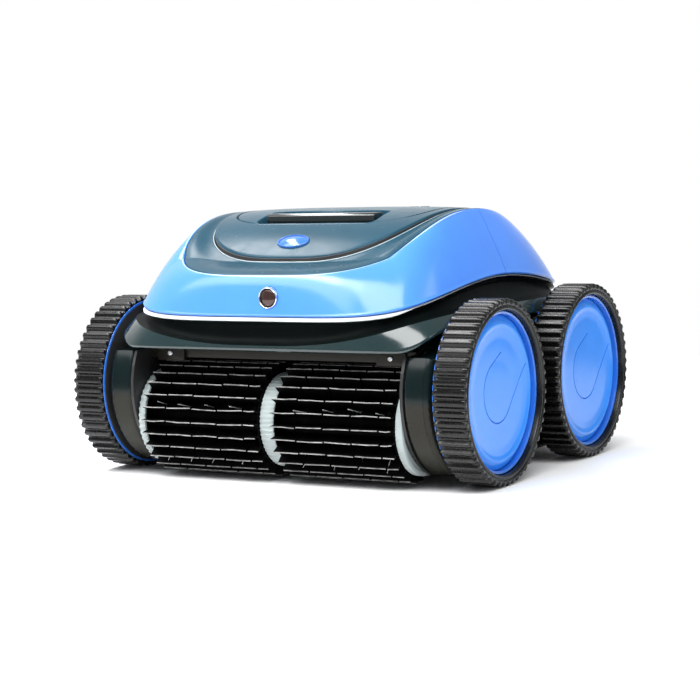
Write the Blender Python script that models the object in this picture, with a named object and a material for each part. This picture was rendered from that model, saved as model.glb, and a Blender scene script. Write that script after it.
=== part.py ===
"""Four-wheeled robotic pool cleaner, built as an assembly of separate parts.

Units are metres.  +Z is up, the scrubbing brush faces -Y, the wheels turn about X.
The floor is z = 0 and the left and right halves mirror each other about x = 0.
"""
import math

import bmesh
import bpy
from mathutils import Matrix, Vector

# ---------------------------------------------------------------- driving dimensions
GAP = 0.0003                     # air between two parts that touch on the real machine

WHEEL_RADIUS = 0.088
TRACK_OVER_TYRES = 0.4394        # outer tyre face to outer tyre face
TYRE_WIDTH = 0.0337
WHEELBASE = 0.201
TREAD_RIBS = 56
RIB_DEPTH = 0.0022
TYRE_INNER_RADIUS = 0.0768
WHEEL_STEPS = 30
RIM_FLANGE_RADIUS = 0.0838
RIM_FLANGE_THICKNESS = 0.0010

BRUSH_Y = -0.129
BRUSH_Z = 0.0585
BRUSH_FIN_RADIUS = 0.0555
BRUSH_FINS = 26
BRUSH_HALF_LENGTH = 0.1405
BRUSH_DRUM_RADIUS = 0.0360
BRUSH_SHAFT_RADIUS = 0.0055
BRUSH_END_DISC_RADIUS = 0.0480
BRUSH_CENTRE_DISC_RADIUS = 0.0460
BRUSH_CENTRE_DISC_HALF = 0.0080
GUARD_Y = (-0.1480, -0.1440)
GUARD_BLOCK_X = (0.1080, 0.1400)
GUARD_BLOCK_PROUD = 0.0035
SCREW_X = 0.1250
SCREW_Z = 0.1225

SHELL_PANEL = (0.1370, 0.1750, 3.3)      # half width, half length, squareness
SHELL_HEM = (0.1680, 0.1885, 5.0)
SHELL_THICKNESS = 0.0032
SEAM_Y = 0.010
LID_OUTLINE = (0.1220, 0.1350, 2.9)
LID_REAR_Y = 0.044
LID_CREST_Z = 0.2595
LID_DROP = 0.0425
HEM_CREST_Z = 0.1925
HEM_DROP = 0.0285
LID_OPEN_GAP = 0.0012
SKIRT_CORNER_X = 0.1480          # the skirt's foot starts to rise here towards the sides
LEDGE_STEP = 0.0036              # how far the dark panel sinks below the lid's front edge
PANEL_THICKNESS = 0.0030
OUTLINE_POINTS = 40

HINGE_Y = 0.0480
HINGE_Z = 0.2550
HINGE_PIN_RADIUS = 0.0016
KNUCKLE_RADIUS = 0.0032
FIXED_KNUCKLES = ((-0.0635, -0.0535), (0.0535, 0.0635))
LID_KNUCKLES = ((-0.0515, -0.0395), (0.0395, 0.0515))
HINGE_SLOTS = ((-0.0525, -0.0385), (0.0385, 0.0525))

POCKET_HALF_WIDTH = 0.0620
POCKET_Y = (-0.0790, -0.0360)
POCKET_FLOOR_Z = 0.2240
POCKET_WALL = 0.0025
HANDLE_Y = (-0.0640, -0.0460)
HANDLE_Z = (0.2450, 0.2560)

LATCH_Y = -0.1150
LATCH_HALF_WIDTH = 0.0175
LATCH_HALF_LENGTH = 0.0105
LATCH_SLOPE = math.atan(0.598)

BUTTON_X = 0.0140
BUTTON_Z = 0.1810
BUTTON_FACE_Y = -0.1852
BEZEL_RADIUS = 0.0102
BUTTON_RADIUS = 0.0080

OUTLET_Y = 0.0960
OUTLET_RADIUS = 0.0300
OUTLET_WALL = 0.0030

POD_INNER_X = 0.1500
POD_OUTER_X = 0.1812
POD_WALL = 0.0035
POD_END_RADIUS = 0.0815          # the pod's ends are round about the wheel hubs
POD_BOTTOM_Z = 0.0120
POD_ARC_STEPS = 9
COVER_THICKNESS = 0.0030

TUB_HALF_WIDTH = 0.1465
TUB_FRONT_Y = -0.0660
TUB_REAR_Y = 0.1680
TUB_CORNER = 0.0300
TUB_BOTTOM_Z = 0.0140
TUB_TOP_Z = 0.1500
TUB_WALL = 0.0030
TUB_FLOOR = 0.0040
INLET_X = (0.0150, 0.0850)
INLET_Y = (-0.0500, -0.0200)
FLAP_AXIS_Y = -0.0535
FLAP_THICKNESS = 0.0016
CHARGE_SOCKET_X = (0.0420, 0.0580)
CHARGE_SOCKET_Z = (0.0930, 0.1070)
SOCKET_DEPTH = 0.0055
SOCKET_WALL = 0.0020
CAP_HINGE_Z = 0.0900

BOX_X = 0.1050
BOX_Y = (0.0420, 0.1600)
BOX_Z = (0.0300, 0.1360)
BOX_WALL = 0.0030
BASKET_X = 0.1000
BASKET_Y = (-0.0590, 0.0370)
BASKET_Z = (0.0480, 0.2050)
BASKET_WALL = 0.0025
BAIL_Y = -0.0110
BAIL_Z = 0.1980
BAIL_RADIUS = 0.0016
BAIL_REACH = 0.0360

WHEEL_GEAR_TEETH = 24
BRUSH_GEAR_TEETH = 12
PINION_TEETH = 9
FLANK_STEPS = 1

# ---------------------------------------------------------------- values worked out
HALF_BASE = WHEELBASE / 2
TYRE_OUTER_X = TRACK_OVER_TYRES / 2
TYRE_INNER_X = TYRE_OUTER_X - TYRE_WIDTH
AXIS_DISTANCE = math.hypot(BRUSH_Y + HALF_BASE, BRUSH_Z - WHEEL_RADIUS)
MODULE = 2 * AXIS_DISTANCE / (WHEEL_GEAR_TEETH + BRUSH_GEAR_TEETH)
MOTOR_Y = HALF_BASE - MODULE * (WHEEL_GEAR_TEETH + PINION_TEETH) / 2
CAVITY_OUTER_X = POD_OUTER_X - POD_WALL
COVER_OUTER_X = POD_INNER_X + COVER_THICKNESS
PULLEY_X = (COVER_OUTER_X + 0.0012, COVER_OUTER_X + 0.0092)
GEAR_X = (COVER_OUTER_X + 0.0122, COVER_OUTER_X + 0.0202)
PULLEY_RADIUS = 0.0220
BELT_THICKNESS = 0.0018
AXLE_RADIUS = 0.0075
AXLE_JOURNAL_RADIUS = 0.0045
MOTOR_SHAFT_RADIUS = 0.0040
BRUSH_LINE = math.atan2(BRUSH_Z - WHEEL_RADIUS, BRUSH_Y + HALF_BASE)

SIDES = (("left", -1), ("right", 1))
ENDS = (("front", -1), ("rear", 1))

# ---------------------------------------------------------------- materials
MATERIALS = {
    "blue_gloss": ((0.100, 0.360, 0.860), 0.22, 0.0),
    "slate_gloss": ((0.055, 0.120, 0.150), 0.18, 0.0),
    "black_gloss": ((0.012, 0.014, 0.016), 0.20, 0.0),
    "black_matte": ((0.018, 0.018, 0.019), 0.55, 0.0),
    "tyre_rubber": ((0.016, 0.016, 0.016), 0.60, 0.0),
    "white_plastic": ((0.620, 0.650, 0.660), 0.40, 0.0),
    "chrome": ((0.780, 0.800, 0.820), 0.08, 1.0),
    "steel": ((0.560, 0.570, 0.580), 0.30, 1.0),
    "grey_plastic": ((0.160, 0.170, 0.180), 0.50, 0.0),
    "board_green": ((0.020, 0.130, 0.060), 0.50, 0.0),
    "battery_wrap": ((0.030, 0.090, 0.200), 0.45, 0.0),
    "seal_rubber": ((0.030, 0.030, 0.032), 0.70, 0.0),
}


def clear_scene():
    for thing in list(bpy.data.objects):
        bpy.data.objects.remove(thing, do_unlink=True)


def material(slot):
    found = bpy.data.materials.get(slot)
    if found:
        return found
    colour, roughness, metallic = MATERIALS[slot]
    made = bpy.data.materials.new(slot)
    made.use_nodes = True
    shader = made.node_tree.nodes["Principled BSDF"]
    shader.inputs["Base Color"].default_value = (*colour, 1.0)
    shader.inputs["Roughness"].default_value = roughness
    shader.inputs["Metallic"].default_value = metallic
    made.diffuse_color = (*colour, 1.0)
    return made


# ---------------------------------------------------------------- mesh helpers
def finish_mesh(name, bm, slot, origin=(0, 0, 0), sharp_degrees=32):
    """Close a bmesh into a named object whose origin is on the given point."""
    bmesh.ops.recalc_face_normals(bm, faces=bm.faces)
    mesh = bpy.data.meshes.new(name)
    bm.to_mesh(mesh)
    bm.free()
    mesh.transform(Matrix.Translation(-Vector(origin)))
    mesh.shade_smooth()
    mesh.set_sharp_from_angle(angle=math.radians(sharp_degrees))
    mesh.materials.append(material(slot))
    thing = bpy.data.objects.new(name, mesh)
    thing.location = origin
    bpy.context.scene.collection.objects.link(thing)
    return thing


def loft(rings, ends="cap"):
    """Join equal rings of points; ends is cap (flat ends), loop (a closed tube)."""
    bm = bmesh.new()
    rows = [[bm.verts.new(point) for point in ring] for ring in rings]
    pairs = list(zip(rows, rows[1:]))
    if ends == "loop":
        pairs.append((rows[-1], rows[0]))
    for lower, upper in pairs:
        count = len(lower)
        for k in range(count):
            after = (k + 1) % count
            bm.faces.new((lower[k], lower[after], upper[after], upper[k]))
    if ends == "cap":
        bm.faces.new(rows[0])
        bm.faces.new(rows[-1])
    return bm


def on_axis(axis, along, u, v):
    """A point from its place along an axis and its two cross coordinates."""
    if axis == "X":
        return Vector((along, u, v))
    if axis == "Y":
        return Vector((u, along, v))
    return Vector((u, v, along))


def prism(outline, low, high, axis="X"):
    """Extrude a flat outline of (u, v) points from low to high along an axis."""
    rings = [[on_axis(axis, along, u, v) for u, v in outline] for along in (low, high)]
    return loft(rings)


def box(x, y, z):
    return prism([(y[0], z[0]), (y[1], z[0]), (y[1], z[1]), (y[0], z[1])], x[0], x[1])


def turned(profile, centre, axis="X", steps=48, closed=True):
    """Spin (along, radius) points about an axis; closed profiles make rings."""
    u0, v0 = centre
    rings = []
    for k in range(steps):
        turn = 2 * math.pi * k / steps
        rings.append([
            on_axis(axis, along, u0 + radius * math.cos(turn), v0 + radius * math.sin(turn))
            for along, radius in profile
        ])
    if closed:
        return loft(rings, ends="loop")
    return turned_solid(profile, centre, axis, steps)


def turned_solid(profile, centre, axis, steps):
    """Spin an open profile whose two ends are closed by flat discs."""
    u0, v0 = centre
    rings = []
    for along, radius in profile:
        rings.append([
            on_axis(axis, along, u0 + radius * math.cos(2 * math.pi * k / steps),
                    v0 + radius * math.sin(2 * math.pi * k / steps))
            for k in range(steps)
        ])
    return loft(rings)


def circle(centre, radius, steps=32, start=0.0):
    return [
        (centre[0] + radius * math.cos(start + 2 * math.pi * k / steps),
         centre[1] + radius * math.sin(start + 2 * math.pi * k / steps))
        for k in range(steps)
    ]


def rounded_box_outline(low, high, radius, steps=5):
    """Rectangle between two corners with round corners, anticlockwise."""
    corners = [
        (high[0] - radius, high[1] - radius, 0.0),
        (low[0] + radius, high[1] - radius, 0.5 * math.pi),
        (low[0] + radius, low[1] + radius, math.pi),
        (high[0] - radius, low[1] + radius, 1.5 * math.pi),
    ]
    points = []
    for cu, cv, start in corners:
        for k in range(steps + 1):
            turn = start + 0.5 * math.pi * k / steps
            points.append((cu + radius * math.cos(turn), cv + radius * math.sin(turn)))
    return points


def tool(name, bm):
    """A hidden object that only shapes another one."""
    thing = finish_mesh(name, bm, "grey_plastic")
    thing.hide_render = True
    thing.display_type = "WIRE"
    return thing


def boolean(thing, operation, bm):
    """Cut or add with EXACT, then keep the result as the object's own mesh."""
    cutter = tool("tool_" + thing.name, bm)
    cutter.data.transform(Matrix.Translation(-thing.location))
    cutter.location = thing.location
    step = thing.modifiers.new(operation.lower(), "BOOLEAN")
    step.operation = operation
    step.solver = "EXACT"
    step.object = cutter
    bpy.context.view_layer.update()
    view = bpy.context.evaluated_depsgraph_get()
    shaped = bpy.data.meshes.new_from_object(thing.evaluated_get(view))
    thing.modifiers.remove(step)
    spent = thing.data
    thing.data = shaped
    bpy.data.meshes.remove(spent)
    bpy.data.objects.remove(cutter, do_unlink=True)
    tidy = bmesh.new()
    tidy.from_mesh(thing.data)
    bmesh.ops.remove_doubles(tidy, verts=tidy.verts, dist=1e-6)
    bmesh.ops.dissolve_degenerate(tidy, edges=tidy.edges, dist=1e-6)
    tidy.to_mesh(thing.data)
    tidy.free()
    thing.data.shade_smooth()
    thing.data.set_sharp_from_angle(angle=math.radians(32))
    return thing


def cut(thing, *pieces):
    for piece in pieces:
        boolean(thing, "DIFFERENCE", piece)
    return thing


def weld(thing, *pieces):
    for piece in pieces:
        boolean(thing, "UNION", piece)
    return thing


def mirrored(points, side):
    """Sort an (low, high) pair given for the right side onto either side."""
    low, high = points
    return (low, high) if side > 0 else (-high, -low)


# ---------------------------------------------------------------- outer surface
def superellipse_radius(turn, half_width, half_length, squareness):
    across = abs(math.cos(turn) / half_width) ** squareness
    along = abs(math.sin(turn) / half_length) ** squareness
    return (across + along) ** (-1 / squareness)


def outline_point(turn, shape, inset=0.0):
    half_width, half_length, squareness = shape
    radius = superellipse_radius(turn, half_width - inset, half_length - inset, squareness)
    return radius * math.cos(turn), radius * math.sin(turn)


def top_height(x, y):
    """Height of the dark top: a steep crown over the lid, a flatter ledge beyond it."""
    reach = abs(y)
    edge = LID_OUTLINE[1]
    if reach <= edge:
        height = LID_CREST_Z - LID_DROP * (reach / edge) ** 2.3
    else:
        height = LID_CREST_Z - LID_DROP - 0.385 * (reach - edge)
    return height - 0.003 * abs(x / SHELL_PANEL[0]) ** 3


def hem_height(y):
    """Height of the blue shell's lower edge: low at the front, arched at the side."""
    return HEM_CREST_Z - HEM_DROP * (abs(y) / SHELL_HEM[1]) ** 1.8


def turns():
    return [2 * math.pi * k / OUTLINE_POINTS for k in range(OUTLINE_POINTS)]


def shell_ring(fall, inset=0.0, drop=0.0):
    """One level of the blue shell: fall 0 is the panel edge, fall 1 is the hem."""
    ring = []
    for turn in turns():
        px, py = outline_point(turn, SHELL_PANEL)
        hx, hy = outline_point(turn, SHELL_HEM)
        frontness = math.sin(turn) ** 2
        bulge = fall ** (0.85 - 0.35 * frontness)
        across = (1 - bulge) * px + bulge * hx
        along = (1 - bulge) * py + bulge * hy
        z = (1 - fall) * top_height(px, py) + fall * hem_height(along)
        shrink = 1 - inset / math.hypot(across, along)
        ring.append(Vector((across * shrink, along * shrink, z - drop)))
    return ring


def lid_ring(scale, grow, drop=0.0):
    """Outline of the lid or its opening: a rounded front and a straight rear edge."""
    ring = []
    half_width, half_length, squareness = LID_OUTLINE
    for turn in turns():
        radius = superellipse_radius(turn, half_width + grow, half_length + grow, squareness)
        if math.sin(turn) > 0:
            rear = (LID_REAR_Y + grow) / math.sin(turn)
            radius = (radius ** -14 + rear ** -14) ** (-1 / 14)
        x = scale * radius * math.cos(turn)
        y = scale * radius * math.sin(turn)
        ring.append(Vector((x, y, top_height(x, y) - drop)))
    return ring


def smooth_step(value):
    share = min(max(value, 0.0), 1.0)
    return share * share * (3 - 2 * share)


def ledge_drop(turn, share):
    """Sink of the dark panel beside the lid: full at the front, none at the hinge."""
    frontness = 0.45 + 0.55 * smooth_step((0.35 - math.sin(turn)) / 1.1)
    rearness = smooth_step((math.sin(turn) + 0.25) / 0.9)
    return LEDGE_STEP * frontness * (1 - rearness) * smooth_step((share - 0.15) / 0.8)


def panel_ring(share, drop=0.0):
    """A level of the dark panel between its outer edge (0) and the lid opening (1)."""
    inner = lid_ring(1.0, LID_OPEN_GAP)
    ring = []
    for turn, near in zip(turns(), inner):
        ox, oy = outline_point(turn, SHELL_PANEL, GAP + 0.0002)
        x = (1 - share) * ox + share * near.x
        y = (1 - share) * oy + share * near.y
        ring.append(Vector((x, y, top_height(x, y) - ledge_drop(turn, share) - drop)))
    return ring


# ---------------------------------------------------------------- covers
def half_of(rings, keep_front):
    """Front or rear half of a closed ring-shaped wall, split at the side seam."""
    bm = loft(rings, ends="loop")
    side = -1 if keep_front else 1
    plane = Vector((0, SEAM_Y + side * GAP, 0))
    everything = bm.verts[:] + bm.edges[:] + bm.faces[:]
    sliced = bmesh.ops.bisect_plane(bm, geom=everything, plane_co=plane,
                                    plane_no=(0, side, 0), clear_inner=True)
    rim = [item for item in sliced["geom_cut"] if isinstance(item, bmesh.types.BMEdge)]
    bmesh.ops.holes_fill(bm, edges=rim)
    return bm


def build_shells():
    falls = (0.0, 0.05, 0.14, 0.30, 0.52, 0.76, 1.0)
    outer = [shell_ring(fall) for fall in falls]
    inner = [
        shell_ring(1.0, SHELL_THICKNESS),
        shell_ring(0.5, SHELL_THICKNESS, 0.4 * SHELL_THICKNESS),
        shell_ring(0.0, 0.0, SHELL_THICKNESS),
    ]
    front = finish_mesh("shell_front", half_of(outer + inner, True), "blue_gloss")
    finish_mesh("shell_rear", half_of(outer + inner, False), "blue_gloss")
    bore = turned_solid([(-0.22, BEZEL_RADIUS + GAP), (-0.16, BEZEL_RADIUS + GAP)],
                        (BUTTON_X, BUTTON_Z), "Y", 32)
    cut(front, bore)


def build_power_button():
    """Round push button in a bright ring on the front of the blue shell."""
    ring = [
        (BUTTON_FACE_Y - 0.0022, BUTTON_RADIUS + 0.0006),
        (BUTTON_FACE_Y - 0.0030, BEZEL_RADIUS - 0.0010),
        (BUTTON_FACE_Y - 0.0018, BEZEL_RADIUS),
        (BUTTON_FACE_Y + 0.0100, BEZEL_RADIUS),
        (BUTTON_FACE_Y + 0.0100, BUTTON_RADIUS + 0.0003),
    ]
    bezel = turned(ring, (BUTTON_X, BUTTON_Z), "Y", 32)
    finish_mesh("button_bezel", bezel, "chrome")
    cap = [
        (BUTTON_FACE_Y - 0.0026, 0.0050),
        (BUTTON_FACE_Y - 0.0020, BUTTON_RADIUS - 0.0008),
        (BUTTON_FACE_Y - 0.0008, BUTTON_RADIUS),
        (BUTTON_FACE_Y + 0.0080, BUTTON_RADIUS),
    ]
    button = turned_solid(cap, (BUTTON_X, BUTTON_Z), "Y", 32)
    finish_mesh("power_button", button, "black_gloss", (BUTTON_X, BUTTON_FACE_Y, BUTTON_Z))


def build_top_panel():
    top = [panel_ring(share) for share in (0.0, 0.5, 1.0)]
    under = [panel_ring(share, PANEL_THICKNESS) for share in (1.0, 0.5, 0.0)]
    panel = finish_mesh("top_panel", loft(top + under, ends="loop"), "slate_gloss")
    bore = prism(circle((0, OUTLET_Y), OUTLET_RADIUS + GAP, 28), 0.15, 0.30, "Z")
    barrel_slots = [
        box(span, (HINGE_Y - 0.0075, HINGE_Y + 0.0063), (HINGE_Z - 0.012, HINGE_Z + 0.012))
        for span in HINGE_SLOTS
    ]
    cut(panel, bore, *barrel_slots)
    knuckle = circle((HINGE_Y, HINGE_Z), KNUCKLE_RADIUS, 20, 0.05)
    weld(panel, *[prism(knuckle, *span) for span in FIXED_KNUCKLES])
    cut(panel, prism(circle((HINGE_Y, HINGE_Z), HINGE_PIN_RADIUS + GAP, 20), -0.09, 0.09))


def build_lid():
    """Hinged lid over the filter, with the finger pocket of the carrying handle."""
    origin = (0, HINGE_Y, HINGE_Z)
    top = [lid_ring(scale, 0.0) for scale in (1.0, 0.80, 0.50, 0.05)]
    under = [lid_ring(scale, 0.0, 0.0030) for scale in (0.05, 0.50, 0.80, 0.985)]
    skin = loft(list(reversed(top)) + list(reversed(under)))
    lid = finish_mesh("lid", skin, "slate_gloss", origin)
    low_y, high_y = POCKET_Y[0] - POCKET_WALL, POCKET_Y[1] + POCKET_WALL
    crest = [(y, top_height(0, y) - 0.0013) for y in (high_y, -0.048, -0.062, low_y)]
    tray = [(low_y, POCKET_FLOOR_Z - POCKET_WALL), (high_y, POCKET_FLOOR_Z - POCKET_WALL)]
    tray += crest
    outer = POCKET_HALF_WIDTH + POCKET_WALL
    weld(lid, prism(tray, -outer, outer))
    cut(lid, box((-POCKET_HALF_WIDTH, POCKET_HALF_WIDTH), POCKET_Y, (POCKET_FLOOR_Z, 0.30)))
    for span in LID_KNUCKLES:
        arm = [(HINGE_Y - 0.0080, 0.2535), (HINGE_Y, HINGE_Z - KNUCKLE_RADIUS + 0.0004),
               (HINGE_Y, HINGE_Z + 0.0020), (HINGE_Y - 0.0080, 0.2562)]
        weld(lid, prism(arm, span[0], span[1]))
        weld(lid, prism(circle((HINGE_Y, HINGE_Z), KNUCKLE_RADIUS, 16), span[0], span[1]))
    cut(lid, prism(circle((HINGE_Y, HINGE_Z), HINGE_PIN_RADIUS + GAP, 20), -0.09, 0.09))
    cut(lid, latch_bore())
    pin = turned_solid([(-0.0640, HINGE_PIN_RADIUS), (0.0640, HINGE_PIN_RADIUS)],
                       (HINGE_Y, HINGE_Z), "X", 20)
    finish_mesh("lid_hinge_pin", pin, "steel")


def latch_outline(grow):
    return [((LATCH_HALF_WIDTH + grow) * math.cos(turn), (LATCH_HALF_LENGTH + grow) * math.sin(turn))
            for turn in (2 * math.pi * k / 32 for k in range(32))]


def latch_place():
    """Frame of the latch button: its Z stands square to the lid's front slope."""
    centre = Vector((0, LATCH_Y, top_height(0, LATCH_Y)))
    return Matrix.Translation(centre) @ Matrix.Rotation(LATCH_SLOPE, 4, "X")


def latch_bore():
    bm = prism(latch_outline(GAP), -0.02, 0.02, "Z")
    bm.transform(latch_place())
    return bm


def build_latch():
    bm = loft([[Vector((u * s, v * s, z)) for u, v in latch_outline(0)]
               for s, z in ((0.98, -0.0060), (1.0, -0.0050), (1.0, 0.0008), (0.90, 0.0018))])
    bm.transform(latch_place())
    centre = latch_place().translation
    finish_mesh("lid_latch", bm, "blue_gloss", centre)


def build_handle():
    """Bar across the pocket that the fingers close around."""
    profile = rounded_box_outline((HANDLE_Y[0], HANDLE_Z[0]), (HANDLE_Y[1], HANDLE_Z[1]), 0.0035, 4)
    bar = prism(profile, -POCKET_HALF_WIDTH + GAP, POCKET_HALF_WIDTH - GAP)
    finish_mesh("handle_bar", bar, "black_gloss", (0, HINGE_Y, HINGE_Z))


def build_lid_seal():
    """Rubber strip under the lid, a closed band inside its edge."""
    outer_top = lid_ring(0.975, 0.0, 0.0044)
    outer_low = lid_ring(0.975, 0.0, 0.0068)
    inner_low = lid_ring(0.950, 0.0, 0.0068)
    inner_top = lid_ring(0.950, 0.0, 0.0044)
    band = loft([outer_top, outer_low, inner_low, inner_top], ends="loop")
    finish_mesh("lid_seal", band, "seal_rubber", (0, HINGE_Y, HINGE_Z))


def build_outlet_duct():
    """Round duct above the pump with a grille at its mouth."""
    low = 0.1440
    mouth = 0.2450
    tube = turned([(low, OUTLET_RADIUS - OUTLET_WALL), (mouth, OUTLET_RADIUS - OUTLET_WALL),
                   (mouth, OUTLET_RADIUS), (low, OUTLET_RADIUS)], (0, OUTLET_Y), "Z", 28)
    duct = finish_mesh("outlet_duct", tube, "black_gloss")
    reach = OUTLET_RADIUS - OUTLET_WALL + 0.001
    for k in range(-2, 3):
        x = 0.0095 * k
        half = math.sqrt(reach ** 2 - x ** 2)
        weld(duct, box((x - 0.0012, x + 0.0012), (OUTLET_Y - half, OUTLET_Y + half),
                       (0.2280, 0.2320)))
    slope = [(OUTLET_Y - 0.06, top_height(0, OUTLET_Y - 0.06) + 0.0020),
             (OUTLET_Y - 0.03, top_height(0, OUTLET_Y - 0.03) + 0.0020),
             (OUTLET_Y, top_height(0, OUTLET_Y) + 0.0020),
             (OUTLET_Y + 0.035, top_height(0, OUTLET_Y + 0.035) + 0.0020),
             (OUTLET_Y + 0.035, 0.30), (OUTLET_Y - 0.06, 0.30)]
    cut(duct, prism(slope, -0.05, 0.05))


# ---------------------------------------------------------------- lower body
def skirt_ring(half_width, half_length, squareness, front_z, side_z):
    """A level of the lower skirt; its height rises at the corners from front_z to side_z."""
    ring = []
    for turn in turns():
        x, y = outline_point(turn, (half_width, half_length, squareness))
        share = max(0.0, (abs(x) - SKIRT_CORNER_X) / (half_width - SKIRT_CORNER_X)) ** 2
        ring.append(Vector((x, y, (1 - share) * front_z + share * side_z)))
    return ring


def hem_ring(half_width, half_length, squareness, drop):
    ring = []
    for turn in turns():
        x, y = outline_point(turn, (half_width, half_length, squareness))
        ring.append(Vector((x, y, hem_height(y) - drop)))
    return ring


def build_skirt():
    """Dark bumper that runs all round below the blue shell, with a lip at its foot."""
    rings = [
        hem_ring(0.1660, 0.1868, 5.0, 0.0018),
        hem_ring(0.1668, 0.1874, 5.0, 0.0050),
        skirt_ring(0.1680, 0.1835, 5.6, 0.1500, 0.1700),
        skirt_ring(0.1740, 0.1850, 6.8, 0.1400, 0.1600),
        skirt_ring(0.1800, 0.1876, 8.0, 0.1345, 0.1540),
        skirt_ring(0.1806, 0.1868, 8.0, 0.1305, 0.1505),
        skirt_ring(0.1776, 0.1838, 8.0, 0.1305, 0.1505),
        skirt_ring(0.1640, 0.1800, 5.6, 0.1500, 0.1700),
        hem_ring(0.1628, 0.1836, 5.0, 0.0018),
    ]
    finish_mesh("bumper_skirt", loft(rings, ends="loop"), "black_gloss")


def tub_outline(inset):
    low = (-TUB_HALF_WIDTH + inset, TUB_FRONT_Y + inset)
    high = (TUB_HALF_WIDTH - inset, TUB_REAR_Y - inset)
    return rounded_box_outline(low, high, TUB_CORNER - inset, 3)


def build_tub():
    """Open tray between the two drive pods, with two inlets in its floor."""
    body = prism(tub_outline(0.0), TUB_BOTTOM_Z, TUB_TOP_Z, "Z")
    tub = finish_mesh("chassis_tub", body, "black_matte")
    cut(tub, prism(tub_outline(TUB_WALL), TUB_BOTTOM_Z + TUB_FLOOR, 0.2, "Z"))
    for name, side in SIDES:
        cut(tub, box(mirrored(INLET_X, side), INLET_Y, (0.0, 0.05)))
        cut(tub, prism(circle((MOTOR_Y, WHEEL_RADIUS), 0.0060, 24),
                       *mirrored((0.13, 0.16), side)))
    housing = box((CHARGE_SOCKET_X[0] - SOCKET_WALL, CHARGE_SOCKET_X[1] + SOCKET_WALL),
                  (TUB_REAR_Y - SOCKET_DEPTH - SOCKET_WALL, TUB_REAR_Y - 0.5 * TUB_WALL),
                  (CHARGE_SOCKET_Z[0] - SOCKET_WALL, CHARGE_SOCKET_Z[1] + SOCKET_WALL))
    weld(tub, housing)
    cut(tub, box(CHARGE_SOCKET_X, (TUB_REAR_Y - SOCKET_DEPTH, TUB_REAR_Y + 0.01), CHARGE_SOCKET_Z))


def build_inlet_flaps():
    """Thin doors over the floor inlets that let debris in and not out."""
    base = TUB_BOTTOM_Z + TUB_FLOOR + GAP
    for name, side in SIDES:
        x = mirrored((INLET_X[0] - 0.003, INLET_X[1] + 0.003), side)
        axis_z = base + FLAP_THICKNESS
        leaf = [(FLAP_AXIS_Y - 0.0008, base), (INLET_Y[1] + 0.003, base),
                (INLET_Y[1] + 0.003, base + FLAP_THICKNESS),
                (FLAP_AXIS_Y - 0.0008, base + FLAP_THICKNESS)]
        middle = sum(x) / 2
        finish_mesh("inlet_flap_" + name, prism(leaf, *x), "grey_plastic",
                    (middle, FLAP_AXIS_Y, axis_z))


def build_charge_cap():
    """Rubber door over the charging socket at the rear."""
    y = TUB_REAR_Y + GAP
    outline = rounded_box_outline((CHARGE_SOCKET_X[0] - 0.005, CAP_HINGE_Z - 0.0008),
                                  (CHARGE_SOCKET_X[1] + 0.005, CHARGE_SOCKET_Z[1] + 0.005),
                                  0.0008, 2)
    finish_mesh("charge_cap", prism(outline, y, y + 0.0030, "Y"), "seal_rubber",
                (sum(CHARGE_SOCKET_X) / 2, y + 0.0030, CAP_HINGE_Z))


def pod_outline(inset=0.0):
    """Side view of a drive pod: round about each wheel hub, flat below, low under the skirt."""
    radius = POD_END_RADIUS - inset
    bottom = POD_BOTTOM_Z + inset
    shoulder = (0.1262 - inset, 0.1268 - inset, 0.1460 - inset)
    low_turn = math.asin((bottom - WHEEL_RADIUS) / radius)
    high_turn = math.asin((shoulder[0] - WHEEL_RADIUS) / radius)
    arc = [low_turn + (high_turn - low_turn) * k / POD_ARC_STEPS for k in range(POD_ARC_STEPS + 1)]
    rear = [(HALF_BASE + radius * math.cos(turn), WHEEL_RADIUS + radius * math.sin(turn))
            for turn in arc]
    rear += [(0.1500, shoulder[1]), (0.1050, shoulder[2])]
    front = [(-y, z) for y, z in reversed(rear)]
    return rear + front


def build_pods():
    """Gear housings at both sides: an open tray and the flat cover on its inner face."""
    for name, side in SIDES:
        body = prism(pod_outline(), *mirrored((COVER_OUTER_X + GAP, POD_OUTER_X), side))
        pod = finish_mesh("side_pod_" + name, body, "black_gloss")
        hollow = prism(pod_outline(POD_WALL), *mirrored((COVER_OUTER_X - 0.01, CAVITY_OUTER_X), side))
        cut(pod, hollow)
        cover_body = prism(pod_outline(), *mirrored((POD_INNER_X, COVER_OUTER_X), side))
        cover = finish_mesh("pod_cover_" + name, cover_body, "black_matte")
        for y in (-HALF_BASE, HALF_BASE):
            bore = circle((y, WHEEL_RADIUS), AXLE_RADIUS + 2 * GAP, 18)
            cut(pod, prism(bore, *mirrored((0.17, 0.19), side)))
            cut(cover, prism(circle((y, WHEEL_RADIUS), AXLE_JOURNAL_RADIUS + 2 * GAP, 18),
                             *mirrored((0.14, 0.16), side)))
        cut(cover, prism(circle((MOTOR_Y, WHEEL_RADIUS), MOTOR_SHAFT_RADIUS + 2 * GAP, 16),
                         *mirrored((0.14, 0.16), side)))
        cut(cover, prism(circle((BRUSH_Y, BRUSH_Z), BRUSH_SHAFT_RADIUS + 2 * GAP, 16),
                         *mirrored((0.14, 0.16), side)))


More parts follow.
